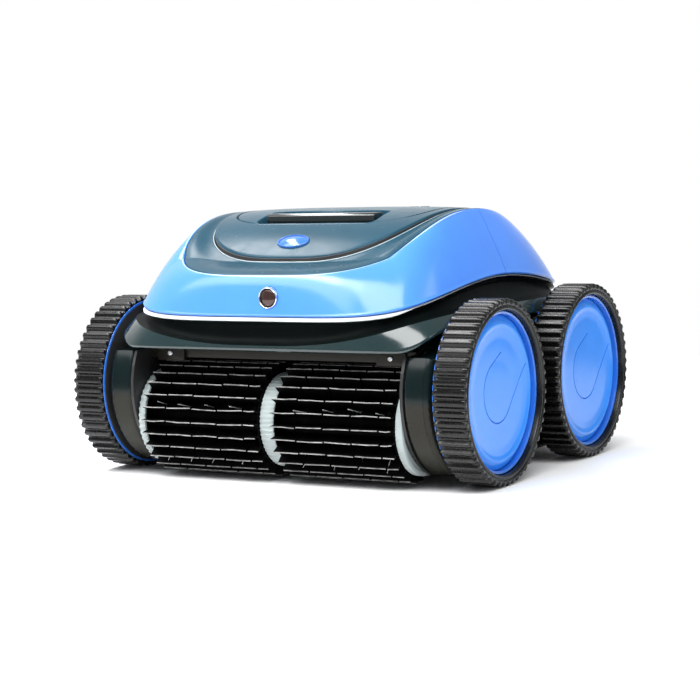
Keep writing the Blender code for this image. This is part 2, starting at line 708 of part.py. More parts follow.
def build_brush_guard():
    """Strip above the brush with a screwed block at each end."""
    half = POD_INNER_X - GAP
    strip = [(GUARD_Y[0], 0.1180), (GUARD_Y[1], 0.1180), (GUARD_Y[1], 0.1262),
             (TUB_FRONT_Y - GAP, 0.1262), (TUB_FRONT_Y - GAP, 0.1292), (GUARD_Y[0], 0.1292)]
    guard = finish_mesh("brush_guard", prism(strip, -half, half), "black_matte")
    for name, side in SIDES:
        weld(guard, box(mirrored(GUARD_BLOCK_X, side), (GUARD_Y[0] - GUARD_BLOCK_PROUD, GUARD_Y[1]),
                        (0.1150, 0.1290)))
        cut(guard, prism(circle((side * SCREW_X, SCREW_Z), 0.0015 + GAP, 16),
                         GUARD_Y[0] - 0.01, GUARD_Y[1] + 0.01, "Y"))
        face = GUARD_Y[0] - GUARD_BLOCK_PROUD - GAP
        screw = turned_solid([(face - 0.0016, 0.0014), (face - 0.0013, 0.0026), (face, 0.0030),
                              (face, 0.0015), (GUARD_Y[1] + 0.003, 0.0015)],
                             (side * SCREW_X, SCREW_Z), "Y", 20)
        finish_mesh("guard_screw_" + name, screw, "steel")


# ---------------------------------------------------------------- wheels and drive
def build_tyre(name, side, y):
    """Ribbed rubber tyre: every rib rises slowly and drops in one short step."""
    pitch = 2 * math.pi / TREAD_RIBS
    low = WHEEL_RADIUS - RIB_DEPTH
    outline = []
    for k in range(TREAD_RIBS):
        crest = -0.5 * math.pi + k * pitch
        for offset, radius in ((0.0, WHEEL_RADIUS), (0.30, low)):
            turn = crest + offset * pitch
            outline.append((y + radius * math.cos(turn), WHEEL_RADIUS + radius * math.sin(turn)))
    x = mirrored((TYRE_INNER_X, TYRE_OUTER_X), side)
    tyre = finish_mesh(name, prism(outline, *x), "tyre_rubber", (0, y, WHEEL_RADIUS))
    bore = circle((y, WHEEL_RADIUS), TYRE_INNER_RADIUS, WHEEL_STEPS)
    cut(tyre, prism(bore, x[0] - 0.01, x[1] + 0.01))


def lathe_side(profile, side, y, steps, solid=False):
    """Turn a profile given for the right-hand side, on either side of the machine."""
    placed = [(side * along, radius) for along, radius in profile]
    centre = (y, WHEEL_RADIUS)
    if solid:
        return turned_solid(placed, centre, "X", steps)
    return turned(placed, centre, "X", steps)


def build_wheel(end, side_name, side, y):
    label = end + "_" + side_name
    origin = (0, y, WHEEL_RADIUS)
    build_tyre("tyre_" + label, side, y)
    barrel = TYRE_INNER_RADIUS - GAP
    flange = TYRE_INNER_X - GAP
    inner = flange - RIM_FLANGE_THICKNESS
    rim = [
        (inner, RIM_FLANGE_RADIUS), (flange, RIM_FLANGE_RADIUS), (flange, barrel),
        (TYRE_OUTER_X - 0.0060, barrel), (TYRE_OUTER_X - 0.0060, barrel - 0.0030),
        (0.2010, barrel - 0.0030), (0.2010, AXLE_RADIUS + GAP), (inner, AXLE_RADIUS + GAP),
        (inner, 0.0130), (0.1975, 0.0140), (0.1975, barrel - 0.0030), (inner, barrel - 0.0030),
    ]
    finish_mesh("rim_" + label, lathe_side(rim, side, y, WHEEL_STEPS), "blue_gloss", origin)
    edge = barrel - 0.0030 - GAP
    cap = [
        (0.2046, edge - 0.0004), (0.2120, edge), (0.2132, edge - 0.0030),
        (0.2105, edge - 0.0140), (0.2098, 0.0300),
    ]
    cap_mesh = lathe_side(cap, side, y, WHEEL_STEPS, True)
    finish_mesh("hubcap_" + label, cap_mesh, "blue_gloss", origin)
    build_axle(label, end, side, y)


def gear_outline(teeth, centre, first):
    """Involute-sided gear outline with root clearance and backlash."""
    pitch_radius = MODULE * teeth / 2
    pressure = math.radians(20)
    base = pitch_radius * math.cos(pressure)
    root = pitch_radius - 1.20 * MODULE
    tip = pitch_radius + 0.85 * MODULE
    half_tooth = math.pi / (2 * teeth) * 0.86
    spread = math.tan(pressure) - pressure
    points = []
    for k in range(teeth):
        middle = first + 2 * math.pi * k / teeth
        flank = []
        for step in range(FLANK_STEPS + 1):
            radius = max(base, root) + (tip - max(base, root)) * step / FLANK_STEPS
            roll = math.acos(min(1.0, base / radius))
            half = half_tooth + spread - (math.tan(roll) - roll)
            flank.append((radius, half))
        if root < base:
            flank.insert(0, (root, flank[0][1]))
        rising = [(radius, -half) for radius, half in flank]
        falling = [(radius, half) for radius, half in reversed(flank)]
        for radius, offset in rising + falling:
            turn = middle + offset
            points.append((centre[0] + radius * math.cos(turn),
                           centre[1] + radius * math.sin(turn)))
    return points


def axle_gear_start(end):
    """Turn of the first tooth, so that a tooth points at the gear it drives."""
    return BRUSH_LINE if end == "front" else math.pi


def build_axle(label, end, side, y):
    """Axle with its belt pulley and, where a gear meshes with it, its gear."""
    centre = (y, WHEEL_RADIUS)
    profile = [
        (POD_INNER_X - 0.0005, AXLE_JOURNAL_RADIUS), (COVER_OUTER_X + 0.0006, AXLE_JOURNAL_RADIUS),
        (COVER_OUTER_X + 0.0006, AXLE_RADIUS), (PULLEY_X[0], AXLE_RADIUS),
        (PULLEY_X[0], PULLEY_RADIUS), (PULLEY_X[1], PULLEY_RADIUS),
        (PULLEY_X[1], AXLE_RADIUS), (0.2036, AXLE_RADIUS),
    ]
    placed = [(side * along, radius) for along, radius in profile]
    axle = finish_mesh("axle_" + label, turned_solid(placed, centre, "X", 18), "steel",
                       (0, y, WHEEL_RADIUS))
    if end == "rear" or side > 0:
        teeth = gear_outline(WHEEL_GEAR_TEETH, centre, axle_gear_start(end))
        weld(axle, prism(teeth, *mirrored(GEAR_X, side)))


def build_belts():
    """Toothed belts that tie the front axle of each side to the rear one."""
    for name, side in SIDES:
        loops = []
        for radius in (PULLEY_RADIUS + GAP, PULLEY_RADIUS + GAP + BELT_THICKNESS):
            loop = []
            for centre, start in ((HALF_BASE, -0.5), (-HALF_BASE, 0.5)):
                for k in range(17):
                    turn = math.pi * (start + k / 16)
                    loop.append((centre + radius * math.cos(turn),
                                 WHEEL_RADIUS + radius * math.sin(turn)))
            loops.append(loop)
        x = mirrored((PULLEY_X[0] + 0.0004, PULLEY_X[1] - 0.0004), side)
        inner, outer = loops
        rings = [
            [Vector((x[0], u, v)) for u, v in inner], [Vector((x[1], u, v)) for u, v in inner],
            [Vector((x[1], u, v)) for u, v in outer], [Vector((x[0], u, v)) for u, v in outer],
        ]
        finish_mesh("drive_belt_" + name, loft(rings, ends="loop"), "seal_rubber")


def build_drive_motors():
    """Drive motors lie across the motor box; each pinion turns a rear axle gear."""
    for name, side in SIDES:
        centre = (MOTOR_Y, WHEEL_RADIUS)
        can = [(0.0340, 0.0100), (0.0340, 0.0155), (0.0380, 0.0165), (0.0960, 0.0165),
               (0.1000, 0.0155), (0.1000, 0.0060)]
        placed = [(side * along, radius) for along, radius in can]
        finish_mesh("drive_motor_" + name, turned_solid(placed, centre, "X", 20), "steel")
        teeth = gear_outline(PINION_TEETH, centre, math.pi / PINION_TEETH)
        pinion = prism(teeth, *mirrored(GEAR_X, side))
        gear = finish_mesh("motor_pinion_" + name, pinion, "steel", (0, *centre))
        shaft = prism(circle(centre, MOTOR_SHAFT_RADIUS, 24),
                      *mirrored((0.1004, GEAR_X[0] + 0.001), side))
        weld(gear, shaft)


# ---------------------------------------------------------------- brush
def build_brush():
    """Driven scrubbing roller: two finned sleeves, three white discs and a gear."""
    centre = (BRUSH_Y, BRUSH_Z)
    origin = (0, BRUSH_Y, BRUSH_Z)
    end = POD_INNER_X + 0.001
    shaft = [(-end, BRUSH_SHAFT_RADIUS), (GEAR_X[1] + 0.001, BRUSH_SHAFT_RADIUS)]
    finish_mesh("brush_shaft", turned_solid(shaft, centre, "X", 24), "steel", origin)
    for name, side in SIDES:
        build_sleeve(name, side, centre, origin)
        x = mirrored((BRUSH_HALF_LENGTH + 0.0006, BRUSH_HALF_LENGTH + 0.0086), side)
        build_disc("brush_end_disc_" + name, x, BRUSH_END_DISC_RADIUS, centre, origin)
    middle = (-BRUSH_CENTRE_DISC_HALF, BRUSH_CENTRE_DISC_HALF)
    build_disc("brush_centre_disc", middle, BRUSH_CENTRE_DISC_RADIUS, centre, origin)
    start = BRUSH_LINE + math.pi + math.pi / BRUSH_GEAR_TEETH
    teeth = gear_outline(BRUSH_GEAR_TEETH, centre, start)
    gear = finish_mesh("brush_gear", prism(teeth, *GEAR_X), "white_plastic", origin)
    cut(gear, prism(circle(centre, BRUSH_SHAFT_RADIUS + GAP, 24), 0.15, 0.20))


def build_disc(name, x, radius, centre, origin):
    profile = [(x[0], BRUSH_SHAFT_RADIUS + GAP), (x[0], radius - 0.001), (x[0] + 0.001, radius),
               (x[1] - 0.001, radius), (x[1], radius - 0.001), (x[1], BRUSH_SHAFT_RADIUS + GAP)]
    finish_mesh(name, turned(profile, centre, "X", 28), "white_plastic", origin)


def build_sleeve(name, side, centre, origin):
    """Half of the brush: a drum with straight radial fins."""
    drum = BRUSH_DRUM_RADIUS
    half_angle = 0.0012
    outline = []
    for k in range(BRUSH_FINS):
        middle = 2 * math.pi * k / BRUSH_FINS
        for radius, offset in ((drum, -half_angle / drum), (BRUSH_FIN_RADIUS, -half_angle / 0.07),
                               (BRUSH_FIN_RADIUS, half_angle / 0.07), (drum, half_angle / drum)):
            turn = middle + offset
            outline.append((centre[0] + radius * math.cos(turn),
                            centre[1] + radius * math.sin(turn)))
    x = mirrored((BRUSH_CENTRE_DISC_HALF + 2 * GAP, BRUSH_HALF_LENGTH), side)
    sleeve = finish_mesh("brush_sleeve_" + name, prism(outline, *x), "black_matte", origin)
    cut(sleeve, prism(circle(centre, BRUSH_SHAFT_RADIUS + GAP, 24), x[0] - 0.01, x[1] + 0.01))


# ---------------------------------------------------------------- inside
def build_motor_box():
    """Sealed box that keeps motors, battery and electronics dry."""
    box_body = box((-BOX_X, BOX_X), BOX_Y, BOX_Z)
    case = finish_mesh("motor_box", box_body, "grey_plastic")
    cut(case, box((-BOX_X + BOX_WALL, BOX_X - BOX_WALL), (BOX_Y[0] + BOX_WALL, BOX_Y[1] - BOX_WALL),
                  (BOX_Z[0] + BOX_WALL, 0.2)))
    for name, side in SIDES:
        cut(case, prism(circle((MOTOR_Y, WHEEL_RADIUS), MOTOR_SHAFT_RADIUS + GAP, 24),
                        *mirrored((0.0990, 0.1100), side)))
        foot = box(mirrored((0.0800, 0.1000), side), (0.0500, 0.1520),
                   (TUB_BOTTOM_Z + TUB_FLOOR + GAP, BOX_Z[0] + 0.001))
        weld(case, foot)
    cover = box((-BOX_X, BOX_X), BOX_Y, (BOX_Z[1] + GAP, BOX_Z[1] + 0.0040))
    top = finish_mesh("motor_box_cover", cover, "grey_plastic")
    cut(top, prism(circle((0, OUTLET_Y), 0.0030 + GAP, 24), 0.12, 0.16, "Z"))
    battery = prism(rounded_box_outline((-0.0950, 0.0480), (0.0950, 0.1540), 0.006, 3),
                    BOX_Z[0] + BOX_WALL + GAP, 0.0540, "Z")
    finish_mesh("battery_pack", battery, "battery_wrap")
    board = finish_mesh("control_board", box((0.0350, 0.0980), (0.0900, 0.1540), (0.1200, 0.1216)),
                        "board_green")
    for x, y in ((0.050, 0.105), (0.078, 0.125), (0.055, 0.145)):
        weld(board, box((x - 0.006, x + 0.006), (y - 0.005, y + 0.005), (0.1210, 0.1240)))


def build_pump():
    centre = (0, OUTLET_Y)
    motor = [(0.0560, 0.0180), (0.0560, 0.0240), (0.0600, 0.0255), (0.1200, 0.0255),
             (0.1240, 0.0240), (0.1240, 0.0060)]
    finish_mesh("pump_motor", turned_solid(motor, centre, "Z", 24), "steel")
    origin = (0, OUTLET_Y, 0.1550)
    hub = [(0.1246, 0.0030), (0.1530, 0.0030), (0.1530, 0.0080), (0.1640, 0.0080),
           (0.1680, 0.0050)]
    impeller = finish_mesh("pump_impeller", turned_solid(hub, centre, "Z", 24), "white_plastic",
                           origin)
    for k in range(3):
        blade = [Vector((u, v, z)) for u, v, z in
                 ((0.0060, -0.0042, 0.1540), (0.0250, -0.0075, 0.1540),
                  (0.0250, -0.0055, 0.1540), (0.0060, -0.0022, 0.1540))]
        upper = [Vector((point.x, point.y + 0.0090, 0.1630)) for point in blade]
        bm = loft([blade, upper])
        spin = Matrix.Translation((0, OUTLET_Y, 0)) @ Matrix.Rotation(2 * math.pi * k / 3, 4, "Z")
        bm.transform(spin)
        weld(impeller, bm)


def build_basket():
    """Filter basket that stands on four feet over the inlets."""
    outer = prism(rounded_box_outline((-BASKET_X, BASKET_Y[0]), (BASKET_X, BASKET_Y[1]), 0.010, 3),
                  *BASKET_Z, "Z")
    basket = finish_mesh("filter_basket", outer, "grey_plastic")
    inset = BASKET_WALL
    hollow = prism(rounded_box_outline((-BASKET_X + inset, BASKET_Y[0] + inset),
                                       (BASKET_X - inset, BASKET_Y[1] - inset), 0.0075, 3),
                   BASKET_Z[0] + inset, 0.25, "Z")
    cut(basket, hollow)
    for name, side in SIDES:
        cut(basket, box(mirrored(INLET_X, side), INLET_Y, (0.04, 0.06)))
        for y in (BASKET_Y[0] + 0.012, BASKET_Y[1] - 0.012):
            foot = box(mirrored((0.0890, 0.0970), side), (y - 0.004, y + 0.004),
                       (TUB_BOTTOM_Z + TUB_FLOOR + GAP, BASKET_Z[0] + 0.001))
            weld(basket, foot)
        cut(basket, prism(circle((BAIL_Y, BAIL_Z), BAIL_RADIUS + GAP, 16),
                          *mirrored((0.09, 0.11), side)))


def swept(path, radius, steps=8):
    """Round wire along a level path of (x, y) points, mitred at its corners."""
    rings = []
    for k, (x, y) in enumerate(path):
        before = Vector(path[max(k - 1, 0)])
        after = Vector(path[min(k + 1, len(path) - 1)])
        here = Vector((x, y))
        heading_in = (here - before).normalized() if k > 0 else (after - here).normalized()
        heading_out = (after - here).normalized() if k < len(path) - 1 else heading_in
        heading = (heading_in + heading_out).normalized()
        stretch = 1 / max(heading.dot(heading_in), 0.3)
        across = Vector((-heading.y, heading.x)) * stretch
        rings.append([
            Vector((x + across.x * radius * math.cos(turn), y + across.y * radius * math.cos(turn),
                    BAIL_Z + radius * math.sin(turn)))
            for turn in (2 * math.pi * n / steps for n in range(steps))
        ])
    return loft(rings)


def build_bail():
    """Wire handle of the basket, folded flat toward the rear."""
    inside = BASKET_X - BASKET_WALL - 0.0030
    tip = BASKET_X - 0.0004
    reach = BAIL_Y + BAIL_REACH
    path = [(-tip, BAIL_Y), (-inside, BAIL_Y), (-inside, reach), (inside, reach),
            (inside, BAIL_Y), (tip, BAIL_Y)]
    finish_mesh("basket_bail", swept(path, BAIL_RADIUS), "steel", (0, BAIL_Y, BAIL_Z))


def build_all():
    clear_scene()
    build_tub()
    build_pods()
    build_skirt()
    build_shells()
    build_top_panel()
    build_power_button()
    build_lid()
    build_latch()
    build_handle()
    build_lid_seal()
    build_outlet_duct()
    build_brush_guard()
    for end, end_side in ENDS:
        for name, side in SIDES:
            build_wheel(end, name, side, end_side * HALF_BASE)
    build_belts()
    build_drive_motors()
    build_brush()
    build_motor_box()
    build_pump()
    build_basket()
    build_bail()
    build_inlet_flaps()
    build_charge_cap()


build_all()
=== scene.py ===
"""Looks of the four-wheeled pool cleaner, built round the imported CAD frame."""
import math

import bmesh
import bpy
import numpy as np
from mathutils import Matrix, Vector


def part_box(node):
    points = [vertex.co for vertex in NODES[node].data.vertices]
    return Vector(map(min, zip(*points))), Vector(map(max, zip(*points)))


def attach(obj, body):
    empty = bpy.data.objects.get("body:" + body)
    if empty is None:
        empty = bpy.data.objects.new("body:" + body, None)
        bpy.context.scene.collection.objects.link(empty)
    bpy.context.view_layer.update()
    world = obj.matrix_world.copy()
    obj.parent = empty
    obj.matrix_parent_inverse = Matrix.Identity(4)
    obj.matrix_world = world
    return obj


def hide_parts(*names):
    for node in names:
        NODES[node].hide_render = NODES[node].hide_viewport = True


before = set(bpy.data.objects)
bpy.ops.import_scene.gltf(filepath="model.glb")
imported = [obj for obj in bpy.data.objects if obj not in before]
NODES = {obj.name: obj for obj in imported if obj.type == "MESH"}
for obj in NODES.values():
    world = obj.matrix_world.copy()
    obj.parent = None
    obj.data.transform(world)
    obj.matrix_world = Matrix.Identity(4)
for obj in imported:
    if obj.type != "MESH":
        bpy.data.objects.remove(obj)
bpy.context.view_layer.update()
SIDES = (("left", -1), ("right", 1))
ENDS = ("front", "rear")
TAU = 2 * math.pi

# ---- form of the covers, in metres
PANEL = (0.137, 0.175, 3.3)  # half width, half length, squareness
HEM = (0.168, 0.1885, 5.0)
LID = (0.122, 0.135, 2.9)
LID_REAR = 0.044
CREST = 0.2595
CREST_FLAT = 0.135  # beyond this the crest runs straight down
HEM_MIDDLE = 0.1925
SEAM_Y = 0.01
SEAM_HALF = 0.0005
SHARP = 38  # degrees between faces that still shade smoothly


def circle(steps):
    return np.linspace(0, TAU, steps, endpoint=False)


TURNS = circle(420)


def superellipse(turn, a, b, n):
    return (np.abs(np.cos(turn) / a) ** n + np.abs(np.sin(turn) / b) ** n) ** (-1 / n)


def outline(turn, shape, inset=0.0):
    a, b, n = shape
    r = superellipse(turn, a - inset, b - inset, n)
    return r * np.cos(turn), r * np.sin(turn)


def top_height(x, y):
    reach = np.abs(y)
    near = CREST - 0.0425 * (np.minimum(reach, CREST_FLAT) / CREST_FLAT) ** 2.3
    return near - 0.385 * np.maximum(reach - CREST_FLAT, 0) - 0.003 * np.abs(x / PANEL[0]) ** 3


def hem_height(y):
    return HEM_MIDDLE - 0.0285 * (np.abs(y) / HEM[1]) ** 1.8


def stack(x, y, z):
    return np.stack([x, y, z + 0 * x], -1)


def smooth(t):
    t = np.clip(t, 0, 1)
    return t * t * (3 - 2 * t)


def middle_of(node):
    """Middle of a CAD node's box, as x, y, z."""
    return [(low + high) / 2 for low, high in zip(*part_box(node))]


# ---- mesh building
def loft(rings, form="cap"):
    """Vertices and faces of equal rings: cap closes both ends, loop joins last to first."""
    rings = np.asarray(rings, float)
    rows, count = rings.shape[:2]
    faces = []
    for i in range(rows if form == "loop" else rows - 1):
        a, b = i * count, ((i + 1) % rows) * count
        faces += [(a + k, a + (k + 1) % count, b + (k + 1) % count, b + k) for k in range(count)]
    if form == "cap":
        faces.append(tuple(range(count)))
        faces.append(tuple((rows - 1) * count + k for k in range(count)))
    return rings.reshape(-1, 3), faces


def joined(parts):
    verts, faces, start = [], [], 0
    for v, f in parts:
        verts.append(np.asarray(v, float))
        faces += [tuple(i + start for i in face) for face in f]
        start += len(v)
    return np.concatenate(verts), faces


def shaded(mesh, sharp=SHARP):
    mesh.shade_smooth()
    mesh.set_sharp_from_angle(angle=math.radians(sharp))
    return mesh


def mesh_of(name, verts, faces, sharp=SHARP):
    mesh = bpy.data.meshes.new(name)
    mesh.from_pydata(np.asarray(verts, float).tolist(), [], faces)
    bm = bmesh.new()
    bm.from_mesh(mesh)
    bmesh.ops.remove_doubles(bm, verts=bm.verts, dist=1e-6)
    bmesh.ops.recalc_face_normals(bm, faces=bm.faces)
    bm.to_mesh(mesh)
    bm.free()
    return shaded(mesh, sharp)


def linked(name, data):
    thing = bpy.data.objects.new(name, data)
    bpy.context.scene.collection.objects.link(thing)
    return thing


def piece(name, shape, body, slot, look=None, stands_for=None):
    """A visible object from (verts, faces) or a mesh; it rides on a body of the CAD frame."""
    mesh = shape if isinstance(shape, bpy.types.Mesh) else mesh_of(name, *shape)
    mesh.materials.clear()
    mesh.materials.append(look or LOOKS[slot])
    thing = linked(name, mesh)
    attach(thing, body)
    if stands_for:
        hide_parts(stands_for)


def carve(mesh, tool, sharp=SHARP):
    """A new mesh: the first less the second."""
    holder, cutter = linked("carve", mesh), linked("cutter", tool)
    step = holder.modifiers.new("carve", "BOOLEAN")
    step.operation, step.solver, step.object = "DIFFERENCE", "EXACT", cutter
    bpy.context.view_layer.update()
    made = bpy.data.meshes.new_from_object(
        holder.evaluated_get(bpy.context.evaluated_depsgraph_get()))
    for thing in (holder, cutter):
        bpy.data.objects.remove(thing, do_unlink=True)
    return shaded(made, sharp)


def place(axis, along, u, v):
    if axis == "X":
        return stack(along + 0 * u, u, v)
    if axis == "Y":
        return stack(u, along + 0 * u, v)
    return stack(u, v, along + 0 * u)


def lathe(profile, centre, axis, steps, form="loop"):
    """Turn (along, radius) points about an axis through centre."""
    turn = circle(steps)
    rings = [place(axis, a, centre[0] + r * np.cos(turn), centre[1] + r * np.sin(turn))
             for a, r in profile]
    return loft(rings, form)


NEARLY_HALF = 0.48  # share of a side that one rounded corner may take


def rounded(profile, radius, steps=4):
    """Round the corners of a closed polyline; radius may be one number or one for each point."""
    points = [np.array(p, float) for p in profile]
    count = len(points)
    radii = [radius] * count if np.isscalar(radius) else radius
    out = []
    for k, here in enumerate(points):
        before, after = points[k - 1] - here, points[(k + 1) % count] - here
        lb, la = np.linalg.norm(before), np.linalg.norm(after)
        reach = min(radii[k], NEARLY_HALF * lb, NEARLY_HALF * la)
        a, b = here + before / lb * reach, here + after / la * reach
        for s in np.linspace(0, 1, steps + 1):
            out.append((1 - s) ** 2 * a + 2 * s * (1 - s) * here + s ** 2 * b)
    return [tuple(p) for p in out]


def arc_box(low, high, radius, steps=6):
    corners = [(high[0], high[1]), (low[0], high[1]), (low[0], low[1]), (high[0], low[1])]
    return rounded(corners, radius, steps)


def bar(outline_points, low, high, axis="X", edge=0.0008, steps=3):
    """Extrusion with rounded ends: the outline shrinks by edge at both ends."""
    pts = np.array(outline_points, float)
    nxt, prv = np.roll(pts, -1, 0), np.roll(pts, 1, 0)
    tangent = nxt - prv
    tangent /= np.maximum(np.linalg.norm(tangent, axis=1), 1e-12)[:, None]
    area = 0.5 * np.sum(pts[:, 0] * nxt[:, 1] - nxt[:, 0] * pts[:, 1])
    inward = np.stack([-tangent[:, 1], tangent[:, 0]], -1) * (1 if area > 0 else -1)
    rings = []
    bends = [math.pi / 2 * s / steps for s in range(steps + 1)]
    for end, sign in ((low, 1), (high, -1)):
        for bend in bends[::sign]:
            shrink = edge * (1 - math.sin(bend))
            along = end + sign * edge * (1 - math.cos(bend))
            ring = pts + inward * shrink
            rings.append(place(axis, along, ring[:, 0], ring[:, 1]))
    return loft(rings)


# ---- materials
def nodes_of(name):
    made = bpy.data.materials.new(name)
    made.use_nodes = True
    tree = made.node_tree
    shader = tree.nodes["Principled BSDF"]
    coords = tree.nodes.new("ShaderNodeTexCoord")
    return made, tree, shader, coords.outputs["Object"]


def put(node, socket, value):
    """Set an input to a value, or link another node's output to it."""
    if isinstance(value, bpy.types.NodeSocket):
        node.id_data.links.new(value, node.inputs[socket])
    else:
        node.inputs[socket].default_value = value


def maths(tree, kind, operation, *values):
    made = tree.nodes.new(kind)
    made.operation = operation
    for socket, value in enumerate(values):
        put(made, socket, value)
    return made


def noise(tree, where, scale, detail=3.0, stretch=None):
    if stretch:
        mapping = tree.nodes.new("ShaderNodeMapping")
        put(mapping, "Scale", stretch)
        put(mapping, "Vector", where)
        where = mapping.outputs["Vector"]
    made = tree.nodes.new("ShaderNodeTexNoise")
    put(made, "Scale", scale)
    put(made, "Detail", detail)
    put(made, "Vector", where)
    return made.outputs["Fac"]


def ramp(tree, value, stops):
    """Colour ramp from (place, colour or grey) stops."""
    made = tree.nodes.new("ShaderNodeValToRGB")
    elements = made.color_ramp.elements
    while len(elements) < len(stops):
        elements.new(0.5)
    for element, (where, colour) in zip(elements, stops):
        element.position = where
        colour = (colour,) * 3 if np.isscalar(colour) else colour
        element.color = (*colour, 1.0)
    put(made, "Fac", value)
    return made.outputs["Color"]


def blend_colour(tree, share, low, high):
    """Mix two colours or colour sockets by a share that varies over the surface."""
    made = tree.nodes.new("ShaderNodeMix")
    made.data_type = "RGBA"
    for socket, value in ((6, low), (7, high)):
        put(made, socket, value if isinstance(value, bpy.types.NodeSocket) else (*value, 1.0))
    put(made, 0, share)
    return made.outputs[2]


def ranged(tree, value, low, high):
    """Share, from 0 to 1, of the way that a value lies from low to high."""
    made = tree.nodes.new("ShaderNodeMapRange")
    put(made, "From Min", low)
    put(made, "From Max", high)
    put(made, "Value", value)
    return made.outputs["Result"]


def bumped(tree, shader, height, strength, distance):
    bump = tree.nodes.new("ShaderNodeBump")
    put(bump, "Strength", strength)
    put(bump, "Distance", distance)
    put(bump, "Height", height)
    put(shader, "Normal", bump.outputs["Normal"])


def shade(colour, factor):
    return tuple(min(1.0, c * factor) for c in colour)


def plastic(name, colour, rough, spread=0.05, vary=0.1, orange=0.02, scale=900.0, coat=0.0,
            wear=0.0, specular=0.5, metallic=0.0, coat_rough=0.06):
    """Moulded plastic: cloudy colour, polish that varies, fine skin texture, rubbed edges."""
    made, tree, shader, where = nodes_of(name)
    cloud = noise(tree, where, 22.0, 4.0)
    tone = ramp(tree, cloud, ((0.3, shade(colour, 1 - vary)), (0.7, shade(colour, 1 + vary))))
    if wear > 0:
        geometry = tree.nodes.new("ShaderNodeNewGeometry")
        pale_share = ramp(tree, geometry.outputs["Pointiness"], ((0.52, 0.0), (0.6, wear)))
        tone = blend_colour(tree, pale_share, tone, shade(colour, 1.9))
    put(shader, "Base Color", tone)
    haze = noise(tree, where, 75.0, 5.0, (1.0, 1.0, 0.35))
    polish = ramp(tree, haze, ((0.25, max(0.02, rough - spread)), (0.75, rough + spread)))
    put(shader, "Roughness", polish)
    put(shader, "Metallic", metallic)
    put(shader, "Specular IOR Level", specular)
    if coat > 0:
        put(shader, "Coat Weight", coat)
        put(shader, "Coat Roughness", coat_rough)
    bumped(tree, shader, noise(tree, where, scale, 2.0), orange, 0.0006)
    return made


def brushed(name, colour, rough, axis_stretch):
    """Metal with fine parallel marks."""
    made, tree, shader, where = nodes_of(name)
    marks = noise(tree, where, 160.0, 6.0, axis_stretch)
    put(shader, "Base Color", ramp(tree, marks, ((0.3, shade(colour, 0.82)), (0.7, colour))))
    put(shader, "Roughness", ramp(tree, marks, ((0.2, rough * 0.7), (0.8, rough * 1.4))))
    put(shader, "Metallic", 1.0)
    bumped(tree, shader, marks, 0.05, 0.0003)
    return made


def rubber(name, colour, rough, dust, dust_amount, scale=420.0, bump=0.12, specular=0.5):
    """Matt rubber with a fine grain and pale dust that settles unevenly."""
    made, tree, shader, where = nodes_of(name)
    grain = noise(tree, where, scale, 2.0)
    patches = noise(tree, where, 38.0, 5.0)
    settled = ramp(tree, patches, ((0.45, 0.0), (0.75, dust_amount)))
    put(shader, "Base Color", blend_colour(tree, settled, colour, dust))
    put(shader, "Roughness", ramp(tree, grain, ((0.3, rough - 0.05), (0.7, rough + 0.05))))
    put(shader, "Specular IOR Level", specular)
    bumped(tree, shader, grain, bump, 0.0008)
    return made


BLUE = (0.066, 0.248, 0.84)
LOOKS = {look.name.removesuffix("_v"): look for look in (
    plastic("blue_gloss_v", BLUE, 0.19, 0.03, 0.04, 0.02, 60, specular=0.6),
    plastic("slate_gloss_v", (0.013, 0.058, 0.092), 0.24, 0.05, 0.1, 0.03, 60, specular=0.17),
    plastic("black_gloss_v", (0.006, 0.01, 0.011), 0.16, 0.04, 0.1, 0.015, 800, 0.3, 0.15, 0.3),
    plastic("black_matte_v", (0.012, 0.012, 0.013), 0.45, 0.08, 0.15, 0.1, 1500, 0.0, 0.15),
    rubber("tyre_rubber_v", (0.0022, 0.0021, 0.002), 0.27, (0.05, 0.048, 0.042), 0.03, 170.0,
           0.008, 0.4),
    plastic("white_plastic_v", (0.62, 0.65, 0.66), 0.42, 0.08, 0.06, 0.06, 900),
    plastic("chrome_v", (0.8, 0.82, 0.84), 0.1, 0.05, 0.03, 0.01, 1200, metallic=1.0),
    brushed("steel_v", (0.6, 0.61, 0.62), 0.28, (1.0, 9.0, 9.0)),
    plastic("grey_plastic_v", (0.13, 0.14, 0.15), 0.48, 0.08, 0.1, 0.12, 1500, wear=0.2),
    plastic("board_green_v", (0.015, 0.11, 0.045), 0.4, 0.1, 0.25, 0.05, 600),
    plastic("battery_wrap_v", (0.02, 0.07, 0.18), 0.35, 0.1, 0.12, 0.05, 350, coat=0.3),
    rubber("seal_rubber_v", (0.022, 0.022, 0.024), 0.62, (0.12, 0.12, 0.12), 0.15))}
SLOT_OF = {}
for name, node in NODES.items():
    slot = node.data.materials[0].name.split(".")[0]
    SLOT_OF[name] = slot
    node.data.materials[0] = LOOKS[slot]

SLEEVE_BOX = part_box("brush_sleeve_right")
BLADE_TIP = max((SLEEVE_BOX[1] - SLEEVE_BOX[0])[1:]) / 2
DRUM_RADIUS = 0.036
BLADE_GAP = 0.0022
END_PLATE = 0.0014
FINS = 26

